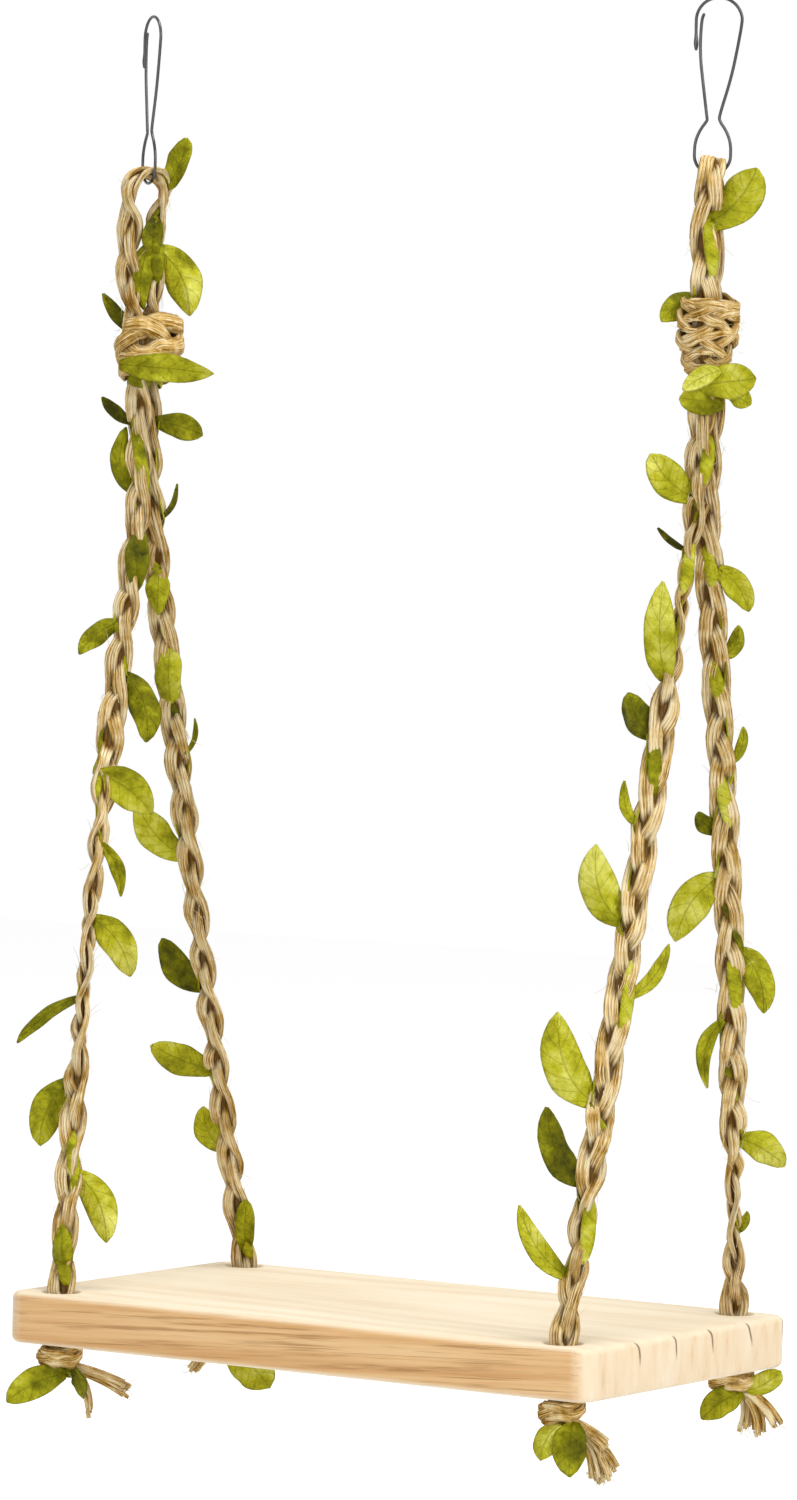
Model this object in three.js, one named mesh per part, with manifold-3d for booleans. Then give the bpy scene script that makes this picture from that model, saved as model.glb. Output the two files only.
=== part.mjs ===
// A hanging platform swing for a bird: a small wooden board, carried at its four corners by two
// plaited jute ropes, each folded in half, knotted below its eye and hung from a bent wire hook.
// A green leaf ribbon is plaited into the ropes. Millimetres, +Z up, -Y is the front.
// Heights are measured from the board's top. The group is then moved so that its origin lies on
// the line of the bar that both hooks hang on, half way between them.
import * as THREE from "three";
import { mergeVertices } from "three/addons/utils/BufferGeometryUtils.js";
import Module from "manifold-3d";

const wasm = await Module();
wasm.setup();

// Board
const BOARD_LENGTH = 199;
const BOARD_DEPTH = 112;
const BOARD_THICK = 15;
const BOARD_CORNER = 5.5;
const BOARD_EASE = 2;
const HOLE_BORE = 10;
const HOLE_CHAMFER = 0.6;
const HOLE_FROM_END = 13.5;
const HOLE_FROM_FRONT = 9;

// Rope: a flat plait, wider than it is thick
const ROPE_WIDTH = 8.4;
const ROPE_THICK = 4.4;
const STRAND = 3.2;
const PIVOT_HEIGHT = 258;
const LEG_GAP = 0.4;
const SPLIT_DROP = 27;
const SPLIT_SOFTNESS = 6;

// Eye and top knot
const HOOK_SPACING = 194;
const NECK_SHOW = 6.8;
const KNOT_TURNS = 2.7;
const KNOT_BAND = 5.4;
const KNOT_BAND_THICK = 4.2;
const KNOT_SLANT = 0.25;
const KNOT_START = { left: 100, right: 250 };
const EYE_LENGTH = 38.3;
const EYE_WIDTH = 10.6;
const EYE_FLARE = 10;
const EYE_ROPE_WIDTH = 6;

// Stopper knots under the board
const STOPPER_TURNS = 1.2;
const STOPPER_BAND = 3;
const STOPPER_BAND_THICK = 3.2;
const STOPPER_SLANT = 0.12;
const STOPPER_START = { left: 330, right: 200 };
const STUB_SLACK = 1.2;
const TAIL_TAPER = 0.7;

// The ends of a knot's winding are drawn in to this share of its size over this share of a turn
const TUCK_SIZE = 0.45;
const TUCK_TURN = 0.3;

// Wire hook
const WIRE = 1.3;
const HOOK_REACH = 49.4;
const CROWN_RADIUS = 6.5;
const CROWN_SHIFT = 1;
const LOOP_RADIUS = 5.1;
const WAIST_GAP = 3.4;
const WAIST_HEIGHT = 15.5;
const TAIL_DROP = 15;
const TAIL_TOE = 0.2;
const GATE_GAP = 0.4;
const GATE_CURL = 2;
const HOOK_TURN = 33;
const EYE_SEAT = 3.4;

// Leaf ribbon
const RIBBON_WIDTH = 4.4;
const COLLAR_WIDTH = 2.2;
const RIBBON_THICK = 0.8;
const RIBBON_SLACK = 0.25;
const LEAF_THICK = 0.7;
const LEAF_STALK = 1.8;
const STALK_WIDTH = 2;
const LEAF_FULLNESS = 1.1;
const RIBBON_LEAD = 3;
const RIBBON_LEAD_TURN = 25;

const CLEAR = 0.3;
const CUT_CLEAR = 0.24;
const TURN_GAP = 0.5;

// Steps and sides of the round forms
const ROPE_SIDES = 8;
const BAND_SIDES = 6;
const WIRE_SIDES = 6;
const TURN_STEPS = 18;
const LEG_STEPS = 22;
const RUN_STEPS = 15;
const BEND_STEPS = 8;
const HOOK_STEPS = 44;
const GATE_STEPS = 14;
const TAIL_STEPS = 6;
const BLADE_STEPS = 6;
const RIBBON_STEP_TURN = 45;
const RIBBON_STEP_DROP = 12;
const HOLE_SIDES = 12;

const HOLE_X = BOARD_LENGTH / 2 - HOLE_FROM_END;
const HOLE_Y = BOARD_DEPTH / 2 - HOLE_FROM_FRONT;
const HOOK_X = HOOK_SPACING / 2;
const NECK_HALF = (ROPE_THICK + LEG_GAP) / 2;
const NECK_END = PIVOT_HEIGHT + ROPE_WIDTH / 2 + CLEAR;
const SPLIT_HEIGHT = PIVOT_HEIGHT - SPLIT_DROP;
const KNOT_FOOT = NECK_END + NECK_SHOW;
const KNOT_SPAN = KNOT_TURNS * (KNOT_BAND + TURN_GAP) + KNOT_BAND;
const KNOT_TOP = KNOT_FOOT + KNOT_SPAN;
const EYE_TOP = KNOT_TOP + EYE_LENGTH;
const EYE_BEND = EYE_TOP - EYE_WIDTH / 2;
const HOOK_HEIGHT = EYE_TOP - EYE_SEAT;
const HANG_HEIGHT = HOOK_HEIGHT + HOOK_REACH - WIRE / 2;
const STUB_RADIUS = HOLE_BORE / 2 - STUB_SLACK;
const STUB_TOP = -ROPE_WIDTH / 2 - 2 * CLEAR;

// Leaves, each by hand: place of its base, heading of its base round the rope, rise of its tip,
// length, width and roll. Headings run from +X towards +Y; roll 90 stands the blade on edge.
// On the legs the place is the height above the board of a leg with its pivot at DRAWN_PIVOT;
// on the eyes it is the drop below the eye's top; on the collars all sit at one height.
const DRAWN_PIVOT = 258;
const LEG_LEAVES = {
  left_front: [
    [252, 195, 40, 11, 6, 80],
    [227, 213, 84, 18, 5, 80],
    [196, 222, -40, 14, 8, 85],
    [182, 20, -70, 20, 10, 100],
    [154, 40, -38, 17, 10, 80],
    [130, 20, -66, 16, 4.5, 100],
    [108, 45, -55, 20, 10, 80],
    [85, 222, -37, 22, 4, 70],
    [60, 205, -64, 20, 10, 95],
    [34, 45, -60, 20, 10, 85],
    [6, 290, 80, 13, 7, 0],
  ],
  left_back: [
    [255, 25, -14, 14, 8, 75],
    [226, 45, 60, 11, 3, 85],
    [206, 300, -80, 13, 7, 0],
    [172, 225, 70, 16, 7, 60],
    [156, 40, 72, 10, 3, 90],
    [123, 222, 46, 19, 10, 90],
    [85, 200, 50, 18, 9, 85],
    [62, 215, 22, 18, 10, 100],
    [36, 210, 65, 13, 8, 90],
    [6, 300, 80, 14, 7, 0],
  ],
  right_front: [
    [235, 222, 42, 16, 9, 85],
    [220, 195, 34, 10, 3, 90],
    [184, 280, 80, 26, 10, 0],
    [168, 195, 58, 12, 10, 95],
    [143, 222, 70, 12, 4, 90],
    [116, 215, 70, 22, 11, 90],
    [95, 40, 54, 18, 5, 80],
    [66, 222, 70, 26, 12, 85],
    [44, 195, 62, 22, 9, 95],
    [18, 220, 55, 23, 7, 85],
  ],
  right_back: [
    [215, 40, -52, 14, 9, 85],
    [190, 25, 64, 9, 6, 90],
    [160, 40, 70, 10, 4, 90],
    [140, 210, 46, 8, 6, 90],
    [127, 222, -56, 22, 11, 90],
    [106, 25, -66, 18, 9, 90],
    [86, 205, -78, 21, 7, 80],
    [49, 40, -28, 14, 9, 80],
    [26, 30, 60, 8, 5, 90],
  ],
};
const EYE_LEAVES = {
  left: [
    [10, 48, 52, 15, 8, 80],
    [23, 30, -60, 20, 10, 90],
  ],
  right: [
    [18, 25, 52, 19, 11, 85],
  ],
};
const COLLAR_LEAVES = {
  left: [
    [0, 200, -20, 11, 7, 80],
    [0, 395, -6, 21, 8, 80],
  ],
  right: [
    [0, 213, -50, 10, 8, 75],
    [0, 325, -60, 11, 8, 0],
    [0, 395, -15, 10, 8, 80],
  ],
};
const END_LEAVES = {
  left_front: [
    [0, 213, -27, 16, 9, 80],
    [0, 325, -52, 12, 8, 40],
  ],
  left_back: [
    [0, 225, -25, 12, 8, 80],
    [0, 380, -30, 12, 8, 80],
  ],
  right_front: [
    [0, 200, -66, 14, 9, 80],
    [0, 330, -66, 14, 9, 60],
  ],
  right_back: [
    [0, 213, -41, 13, 9, 80],
    [0, 355, -5, 16, 8, 70],
  ],
};

// Loose strands below each stopper knot: heading, rise and length
const TAILS = {
  left_front: [
    [33, -20, 20],
    [45, -62, 17],
  ],
  left_back: [
    [213, -20, 12],
    [110, -55, 12],
  ],
  right_front: [
    [33, -54, 17],
    [20, -30, 13],
  ],
  right_back: [
    [60, -80, 13],
    [33, -65, 15],
    [22, -42, 16],
  ],
};

// Heading of the plait's width down each leg: height, as for the leaves, and heading
const LEG_TWIST = {
  left_front: [[258, 0], [185, 0], [130, 105], [85, 110], [45, 180], [0, 180]],
  left_back: [[258, 0], [190, 20], [90, -15], [0, 0]],
  right_front: [[258, 0], [205, -57], [160, -140], [60, -150], [28, -200], [0, -180]],
  right_back: [[258, 0], [200, 25], [70, 45], [32, 115], [0, 180]],
};

// How far each leg bows off its straight line at mid height, along X and Y
const LEG_BOW = {
  left_front: [-2, -1.4],
  left_back: [-1, -0.7],
  right_front: [0.3, 0.2],
  right_back: [2.2, 1.5],
};

const CORNERS = ["left_front", "left_back", "right_front", "right_back"];
const nameOf = (side) => (side < 0 ? "left" : "right");
const sideOf = (corner) => (corner.startsWith("left") ? -1 : 1);
const depthOf = (corner) => (corner.endsWith("front") ? -1 : 1);

// Small helpers
const UP = new THREE.Vector3(0, 0, 1);
const radians = THREE.MathUtils.degToRad;
const lerp = THREE.MathUtils.lerp;
const clamp = THREE.MathUtils.clamp;

function point(x, y, z) {
  return new THREE.Vector3(x, y, z);
}

function heading(degrees) {
  return point(Math.cos(radians(degrees)), Math.sin(radians(degrees)), 0);
}

function direction(degrees, rise) {
  const level = heading(degrees).multiplyScalar(Math.cos(radians(rise)));
  return level.addScaledVector(UP, Math.sin(radians(rise)));
}

function circle(sides) {
  const section = [];
  for (let k = 0; k < sides; k++) {
    const angle = (2 * Math.PI * (k + 0.5)) / sides;
    section.push([Math.cos(angle), Math.sin(angle)]);
  }
  return section;
}

const SQUARE = [[1, -1], [1, 1], [-1, 1], [-1, -1]];

// A closed solid along a route. Each station has a middle, the direction along the route, a wide
// direction and two half sizes; a ring of the section stands at each, and a fan closes each end.
function sweep(stations, section) {
  const positions = [];
  const rings = stations.map(({ middle, along, wide, halfWide, halfThick }) => {
    const across = wide.clone().addScaledVector(along, -wide.dot(along)).normalize();
    const flat = along.clone().cross(across);
    return section.map(([w, t]) =>
      middle.clone().addScaledVector(across, w * halfWide).addScaledVector(flat, t * halfThick),
    );
  });
  const triangle = (...corners) => corners.forEach((c) => positions.push(c.x, c.y, c.z));
  const count = section.length;
  for (let i = 0; i + 1 < rings.length; i++) {
    for (let k = 0; k < count; k++) {
      const next = (k + 1) % count;
      triangle(rings[i][k], rings[i][next], rings[i + 1][next]);
      triangle(rings[i][k], rings[i + 1][next], rings[i + 1][k]);
    }
  }
  const first = stations[0].middle;
  const last = stations[stations.length - 1].middle;
  for (let k = 0; k < count; k++) {
    const next = (k + 1) % count;
    triangle(first, rings[0][next], rings[0][k]);
    triangle(last, rings[rings.length - 1][k], rings[rings.length - 1][next]);
  }
  const geometry = new THREE.BufferGeometry();
  geometry.setAttribute("position", new THREE.Float32BufferAttribute(positions, 3));
  return { geometry, rings };
}

// Adds the direction along the route to stations that have only their middles
function directed(stations) {
  return stations.map((station, i) => {
    const before = stations[Math.max(i - 1, 0)].middle;
    const after = stations[Math.min(i + 1, stations.length - 1)].middle;
    return { along: after.clone().sub(before).normalize(), ...station };
  });
}

// Closed geometry to a solid that can be joined and cut, and back
function solidOf(geometry) {
  const bare = new THREE.BufferGeometry();
  const loose = geometry.index ? geometry.toNonIndexed() : geometry;
  bare.setAttribute("position", loose.getAttribute("position"));
  const merged = mergeVertices(bare, 1e-4);
  return new wasm.Manifold(
    new wasm.Mesh({
      numProp: 3,
      vertProperties: merged.attributes.position.array,
      triVerts: new Uint32Array(merged.index.array),
    }),
  );
}

function geometryOf(solid) {
  const mesh = solid.getMesh();
  const geometry = new THREE.BufferGeometry();
  geometry.setAttribute("position", new THREE.BufferAttribute(mesh.vertProperties, 3));
  geometry.setIndex(new THREE.BufferAttribute(mesh.triVerts, 1));
  return geometry.toNonIndexed();
}

// A value read off a list of [height, value] pairs that runs downwards
function read(list, height) {
  for (let i = 0; i + 1 < list.length; i++) {
    const [high, atHigh] = list[i];
    const [low, atLow] = list[i + 1];
    if (height >= low) {
      const share = clamp((high - height) / (high - low), 0, 1);
      return lerp(atHigh, atLow, THREE.MathUtils.smoothstep(share, 0, 1));
    }
  }
  return list[list.length - 1][1];
}

// Rope legs: one from below the knot to each hole, run together first, then spread apart.
// Each end of a leg is a half disc about its pivot.

function legMiddle(corner, height) {
  const below = SPLIT_HEIGHT - height;
  const spread = SPLIT_SOFTNESS * Math.log(1 + Math.exp(below / SPLIT_SOFTNESS));
  const slope = (HOLE_Y - NECK_HALF) / SPLIT_HEIGHT;
  const up = clamp(height / PIVOT_HEIGHT, 0, 1);
  const bow = Math.sin(Math.PI * clamp(height / SPLIT_HEIGHT, 0, 1));
  const x = sideOf(corner) * lerp(HOLE_X, HOOK_X, up) + bow * LEG_BOW[corner][0];
  const y = depthOf(corner) * Math.min(NECK_HALF + slope * spread, HOLE_Y) + bow * LEG_BOW[corner][1];
  return point(x, y, height);
}

function legStation(corner, height, grow = 0) {
  const half = ROPE_WIDTH / 2;
  const past = Math.max(height - PIVOT_HEIGHT, -height, 0);
  const drawnHeight = height * (DRAWN_PIVOT / PIVOT_HEIGHT);
  return {
    middle: legMiddle(corner, height),
    wide: heading(read(LEG_TWIST[corner], drawnHeight)),
    halfWide: Math.sqrt(half * half - past * past) + grow,
    halfThick: ROPE_THICK / 2 + grow,
  };
}

function legStations(corner, grow = 0) {
  const half = ROPE_WIDTH / 2;
  const roundEnd = [75, 58, 33].map((angle) => half * Math.sin(radians(angle)));
  const heights = roundEnd.map((h) => PIVOT_HEIGHT + h);
  for (let i = 0; i <= LEG_STEPS; i++) {
    heights.push(PIVOT_HEIGHT * (1 - i / LEG_STEPS));
  }
  heights.push(...roundEnd.reverse().map((h) => -h));
  return directed(heights.map((height) => legStation(corner, height, grow)));
}

function legSolid(corner, grow = 0) {
  return solidOf(sweep(legStations(corner, grow), circle(ROPE_SIDES)).geometry);
}

// Eyes: each rope goes up through its knot, over the hook's lower bend and down again

const hookHeading = (side) => side * HOOK_TURN;
const eyeHeading = (side) => hookHeading(side) + 90;

// The rope's two runs lie front and back at the neck's end, and in the eye's plane above the knot
function runHeading(side, height) {
  const share = clamp((height - NECK_END) / (KNOT_TOP - NECK_END), 0, 1);
  return lerp(90, eyeHeading(side), share);
}

function runOffset(height) {
  const share = THREE.MathUtils.smoothstep(height, EYE_BEND - EYE_FLARE, EYE_BEND);
  return lerp(NECK_HALF, EYE_WIDTH / 2, share);
}

function runStation(side, run, height, grow = 0) {
  const turn = runHeading(side, height);
  const narrow = clamp((height - (EYE_BEND - EYE_FLARE)) / EYE_FLARE, 0, 1);
  const foot = point(side * HOOK_X, 0, height);
  return {
    middle: foot.addScaledVector(heading(turn), run * runOffset(height)),
    wide: heading(turn + 90),
    halfWide: lerp(ROPE_WIDTH, EYE_ROPE_WIDTH, narrow) / 2 + grow,
    halfThick: ROPE_THICK / 2 + grow,
  };
}

function eyeStations(side, grow = 0) {
  const radius = EYE_WIDTH / 2;
  const stations = [];
  for (let i = 0; i <= RUN_STEPS; i++) {
    stations.push(runStation(side, -1, lerp(NECK_END, EYE_BEND, i / RUN_STEPS), grow));
  }
  const top = stations[RUN_STEPS];
  for (let i = 1; i < BEND_STEPS; i++) {
    const angle = Math.PI * (1 - i / BEND_STEPS);
    const middle = point(side * HOOK_X, 0, EYE_BEND + radius * Math.sin(angle));
    middle.addScaledVector(heading(eyeHeading(side)), radius * Math.cos(angle));
    stations.push({ ...top, middle });
  }
  for (let i = RUN_STEPS; i >= 0; i--) {
    stations.push(runStation(side, 1, lerp(NECK_END, EYE_BEND, i / RUN_STEPS), grow));
  }
  const routed = directed(stations);
  routed[0].along = UP.clone();
  routed[routed.length - 1].along = UP.clone().negate();
  return routed;
}

function eyeSolid(side, grow = 0) {
  return solidOf(sweep(eyeStations(side, grow), circle(ROPE_SIDES)).geometry);
}

// Knots: a flat band wound round the rope, its turns slanted, its ends drawn in

function windingStations(foot, shape, grow = 0) {
  const { inner, turns, band, thick, slant, start } = shape;
  const pitch = band + TURN_GAP;
  const steps = Math.round(turns * TURN_STEPS);
  const stations = [];
  for (let i = 0; i <= steps; i++) {
    const turned = turns * (i / steps);
    const angle = start + 360 * turned;
    const fromEnd = Math.min(turned, turns - turned);
    const full = lerp(TUCK_SIZE, 1, THREE.MathUtils.smoothstep(fromEnd, 0, TUCK_TURN));
    const radius = inner + (thick * full) / 2;
    const lift = pitch * (turned - turns / 2) + slant * inner * Math.sin(radians(360 * turned));
    stations.push({
      middle: foot.clone().addScaledVector(heading(angle), radius).addScaledVector(UP, lift),
      wide: UP,
      halfWide: (band * full) / 2 + grow,
      halfThick: (thick * full) / 2 + grow,
    });
  }
  return directed(stations);
}

// The least distance between rings of the winding that lie most of a turn apart
function leastGap(rings) {
  let least = Infinity;
  const apart = Math.round(TURN_STEPS * 0.75);
  for (let i = 0; i + apart < rings.length; i++) {
    for (let j = i + apart; j < rings.length; j++) {
      rings[i].forEach((a) => rings[j].forEach((b) => (least = Math.min(least, a.distanceTo(b)))));
    }
  }
  return least;
}

const neckReach = () => Math.hypot(NECK_HALF + ROPE_THICK / 4, ROPE_WIDTH / 2);

function topKnotShape(side) {
  return {
    inner: neckReach() + CLEAR,
    turns: KNOT_TURNS,
    band: KNOT_BAND,
    thick: KNOT_BAND_THICK,
    slant: KNOT_SLANT,
    start: KNOT_START[nameOf(side)],
  };
}

function topKnotStations(side, grow = 0) {
  const foot = point(side * HOOK_X, 0, (KNOT_FOOT + KNOT_TOP) / 2);
  return windingStations(foot, topKnotShape(side), grow);
}

function stopperShape(corner) {
  return {
    inner: STUB_RADIUS + CLEAR,
    turns: STOPPER_TURNS,
    band: STOPPER_BAND,
    thick: STOPPER_BAND_THICK,
    slant: STOPPER_SLANT,
    start: STOPPER_START[nameOf(sideOf(corner))],
  };
}

const stopperSpan = STOPPER_TURNS * (STOPPER_BAND + TURN_GAP) + STOPPER_BAND;
const stopperLean = 2 * STOPPER_SLANT * (STUB_RADIUS + CLEAR);
const stopperMiddle = -BOARD_THICK - CLEAR - (stopperSpan + stopperLean) / 2;
const STUB_END = stopperMiddle - (stopperSpan + stopperLean) / 2;
const TAIL_ROOT = STUB_END - 2 * CLEAR - COLLAR_WIDTH - STRAND / 2;

function holePoint(corner, height) {
  return point(sideOf(corner) * HOLE_X, depthOf(corner) * HOLE_Y, height);
}

function stopperStations(corner, grow = 0) {
  return windingStations(holePoint(corner, stopperMiddle), stopperShape(corner), grow);
}

// Rope ends: the rope through each hole and its knot, parting below into loose strands

function ropeEndSolid(corner, grow = 0) {
  const stubHeights = [STUB_TOP + grow, -BOARD_THICK, TAIL_ROOT - STRAND / 2 - grow];
  const stub = directed(
    stubHeights.map((height) => ({
      middle: holePoint(corner, height),
      wide: heading(0),
      halfWide: STUB_RADIUS + grow,
      halfThick: STUB_RADIUS + grow,
    })),
  );
  let solid = solidOf(sweep(stub, circle(ROPE_SIDES)).geometry);
  TAILS[corner].forEach(([turn, rise, length]) => {
    const root = holePoint(corner, TAIL_ROOT).addScaledVector(heading(turn), STUB_RADIUS / 2);
    const bend = root.clone().addScaledVector(direction(turn, rise / 2), length / 2);
    const tip = root.clone().addScaledVector(direction(turn, rise), length);
    const curve = new THREE.QuadraticBezierCurve3(root, bend, tip);
    const stations = [];
    for (let k = 0; k <= TAIL_STEPS; k++) {
      const share = k / TAIL_STEPS;
      const size = (STRAND / 2) * lerp(1, TAIL_TAPER, share) + grow;
      stations.push({
        middle: curve.getPoint(share),
        along: curve.getTangent(share),
        wide: heading(turn + 90),
        halfWide: size,
        halfThick: size,
      });
    }
    solid = solid.add(solidOf(sweep(stations, circle(BAND_SIDES)).geometry));
  });
  return solid;
}

// Leaves: a ribbon laid round the rope from leaf to leaf, with the blades standing off it

function blade(base, turn, rise, length, width, roll) {
  const bend = base.clone().addScaledVector(direction(turn, rise / 2), length / 2);
  const tip = base.clone().addScaledVector(direction(turn, rise), length);
  const midrib = new THREE.QuadraticBezierCurve3(base, bend, tip);
  const level = heading(turn + 90);
  const stations = [];
  for (let i = 0; i <= BLADE_STEPS; i++) {
    const share = i / BLADE_STEPS;
    const along = midrib.getTangent(share);
    const inLeaf = clamp((share * length - LEAF_STALK) / (length - LEAF_STALK), 0, 1);
    const outline = (width / 2) * Math.sin(Math.PI * Math.pow(inLeaf, LEAF_FULLNESS));
    const wide = level.clone().applyAxisAngle(along, -radians(roll));
    const stalk = lerp(STALK_WIDTH / 2, LEAF_THICK / 2, share);
    stations.push({
      middle: midrib.getPoint(share),
      along,
      wide,
      halfWide: Math.max(outline, stalk),
      halfThick: LEAF_THICK / 2,
    });
  }
  return solidOf(sweep(stations, SQUARE).geometry);
}

// The point of a stem's surface at a heading, lifted off it, and the way out from the surface there
function onStem(station, turn, lift) {
  const { middle, wide, halfWide, halfThick } = station;
  const angle = radians(turn) - Math.atan2(wide.y, wide.x);
  const flat = UP.clone().cross(wide).normalize();
  const surface = middle
    .clone()
    .addScaledVector(wide, halfWide * Math.cos(angle))
    .addScaledVector(flat, halfThick * Math.sin(angle));
  const out = wide.clone().multiplyScalar(Math.cos(angle) / halfWide);
  out.addScaledVector(flat, Math.sin(angle) / halfThick).normalize();
  return { place: surface.addScaledVector(out, lift), out };
}

// The leaf bases in the order that the ribbon meets them, each one turned on from the one before
function windOn(leaves) {
  const bases = [];
  let last = -Infinity;
  leaves.forEach(([height, turn]) => {
    while (turn < last - RIBBON_LEAD_TURN) {
      turn += 360;
    }
    bases.push({ height, turn });
    last = turn;
  });
  return bases;
}

// stem(height) gives the station of the rope that the ribbon lies on
function leafRibbon(stem, leaves, ribbonWidth, lead) {
  const lift = CLEAR + RIBBON_SLACK + RIBBON_THICK / 2;
  const bases = windOn(leaves);
  const stations = [];
  const place = (height, turn) => {
    const { place: middle, out } = onStem(stem(height), turn, lift);
    stations.push({ middle, out, halfWide: ribbonWidth / 2, halfThick: RIBBON_THICK / 2 });
  };
  place(bases[0].height + lead, bases[0].turn - RIBBON_LEAD_TURN);
  bases.forEach((base, i) => {
    place(base.height, base.turn);
    const next = bases[i + 1];
    if (next) {
      const byTurn = Math.round((next.turn - base.turn) / RIBBON_STEP_TURN);
      const byDrop = Math.round((base.height - next.height) / RIBBON_STEP_DROP);
      const steps = Math.max(2, byTurn, byDrop);
      for (let k = 1; k < steps; k++) {
        place(lerp(base.height, next.height, k / steps), lerp(base.turn, next.turn, k / steps));
      }
    }
  });
  const end = bases[bases.length - 1];
  place(end.height - lead, end.turn + RIBBON_LEAD_TURN);
  const routed = directed(stations).map((station) => ({
    ...station,
    wide: station.out.clone().cross(station.along),
  }));
  let solid = solidOf(sweep(routed, SQUARE).geometry);
  leaves.forEach(([height, turn, rise, length, width, roll]) => {
    const { place: base } = onStem(stem(height), turn, lift);
    solid = solid.add(blade(base, turn, rise, length, width, roll));
  });
  return solid;
}

// A ribbon drawn in to a ring round a level stem
function leafCollar(stem, leaves) {
  return leafRibbon(() => stem, leaves, COLLAR_WIDTH, 0);
}

function cutClear(solid, ...others) {
  return others.reduce((rest, other) => rest.subtract(other), solid);
}

// Board: a rounded slab with eased edges and four chamfered holes

function boardSolid() {
  const inset = BOARD_EASE;
  const x = BOARD_LENGTH / 2;
  const y = BOARD_DEPTH / 2;
  const r = BOARD_CORNER;
  const outline = new THREE.Shape();
  outline.moveTo(-x + r, -y);
  outline.lineTo(x - r, -y);
  outline.absarc(x - r, -y + r, r, -Math.PI / 2, 0);
  outline.lineTo(x, y - r);
  outline.absarc(x - r, y - r, r, 0, Math.PI / 2);
  outline.lineTo(-x + r, y);
  outline.absarc(-x + r, y - r, r, Math.PI / 2, Math.PI);
  outline.lineTo(-x, -y + r);
  outline.absarc(-x + r, -y + r, r, Math.PI, 1.5 * Math.PI);
  const slab = new THREE.ExtrudeGeometry(outline, {
    depth: BOARD_THICK - 2 * inset,
    bevelThickness: inset,
    bevelSize: inset,
    bevelOffset: -inset,
    bevelSegments: 2,
    curveSegments: 4,
  });
  slab.translate(0, 0, inset - BOARD_THICK);
  const bore = HOLE_BORE / 2;
  const flare = bore + HOLE_CHAMFER + 1;
  const profile = [
    [0, -BOARD_THICK - 1],
    [flare, -BOARD_THICK - 1],
    [bore, -BOARD_THICK + HOLE_CHAMFER],
    [bore, -HOLE_CHAMFER],
    [flare, 1],
    [0, 1],
  ].map(([radius, height]) => new THREE.Vector2(radius, height));
  let solid = solidOf(slab);
  CORNERS.forEach((corner) => {
    const cutter = new THREE.LatheGeometry(profile, HOLE_SIDES).rotateX(Math.PI / 2);
    const at = holePoint(corner, 0);
    cutter.translate(at.x, at.y, 0);
    solid = solid.subtract(solidOf(cutter));
  });
  return solid;
}

// Hooks: one bent wire each; its gate arm, which springs inwards, is a piece of its own

function hookPoint(side, across, up) {
  return point(side * HOOK_X, 0, HOOK_HEIGHT + up).addScaledVector(heading(hookHeading(side)), across);
}

function wireTube(side, route, steps) {
  const curve = new THREE.CatmullRomCurve3(
    route.map(([across, up]) => hookPoint(side, across, up)),
    false,
    "centripetal",
  );
  const normal = heading(hookHeading(side) + 90);
  const stations = [];
  for (let i = 0; i <= steps; i++) {
    stations.push({
      middle: curve.getPointAt(i / steps),
      along: curve.getTangentAt(i / steps),
      wide: normal,
      halfWide: WIRE / 2,
      halfThick: WIRE / 2,
    });
  }
  return solidOf(sweep(stations, circle(WIRE_SIDES)).geometry);
}

function arc(centre, radius, from, to, count) {
  const points = [];
  for (let i = 0; i <= count; i++) {
    const angle = radians(lerp(from, to, i / count));
    points.push([centre[0] + radius * Math.cos(angle), centre[1] + radius * Math.sin(angle)]);
  }
  return points;
}

const crownCentre = [CROWN_SHIFT, HOOK_REACH - CROWN_RADIUS];
const gateRoot = [-WAIST_GAP / 2, WAIST_HEIGHT];

function hookFrame(side) {
  const waist = WAIST_GAP / 2;
  const shoulder = [
    [waist, WAIST_HEIGHT - 2 * CLEAR],
    [lerp(waist, LOOP_RADIUS, 0.6), lerp(WAIST_HEIGHT, LOOP_RADIUS, 0.32)],
    [lerp(waist, LOOP_RADIUS, 0.97), lerp(WAIST_HEIGHT, LOOP_RADIUS, 0.65)],
  ];
  const armMiddle = [(waist + CROWN_SHIFT + CROWN_RADIUS) / 2, lerp(WAIST_HEIGHT, crownCentre[1], 0.4)];
  const route = [
    [CROWN_SHIFT - CROWN_RADIUS + TAIL_TOE, HOOK_REACH - TAIL_DROP],
    ...arc(crownCentre, CROWN_RADIUS, 180, 0, 7),
    armMiddle,
    ...shoulder,
    ...arc([0, LOOP_RADIUS], LOOP_RADIUS, 0, -180, 6),
    ...shoulder.map(([across, up]) => [-across, up]).reverse(),
  ];
  return wireTube(side, route, HOOK_STEPS);
}

function hookGate(side) {
  const stop = CROWN_SHIFT - CROWN_RADIUS + WIRE + GATE_GAP;
  const tailEnd = HOOK_REACH - TAIL_DROP;
  const route = [
    gateRoot,
    [lerp(gateRoot[0], stop, 0.55), lerp(gateRoot[1], tailEnd, 0.5)],
    [stop, tailEnd - WIRE],
    [stop + TAIL_TOE, crownCentre[1]],
    [stop + GATE_CURL / 2, crownCentre[1] + GATE_CURL],
  ];
  return wireTube(side, route, GATE_STEPS);
}

// Materials
const WOOD = new THREE.MeshStandardMaterial({ color: 0xe6c493, roughness: 0.7, metalness: 0 });
const JUTE = new THREE.MeshStandardMaterial({ color: 0xcda26a, roughness: 0.95, metalness: 0 });
const LEAF = new THREE.MeshStandardMaterial({ color: 0x8e9420, roughness: 0.85, metalness: 0 });
const STEEL = new THREE.MeshStandardMaterial({ color: 0x8c8c8c, roughness: 0.3, metalness: 1 });

// Assembly
const swing = new THREE.Group();
swing.position.z = -HANG_HEIGHT;

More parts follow.
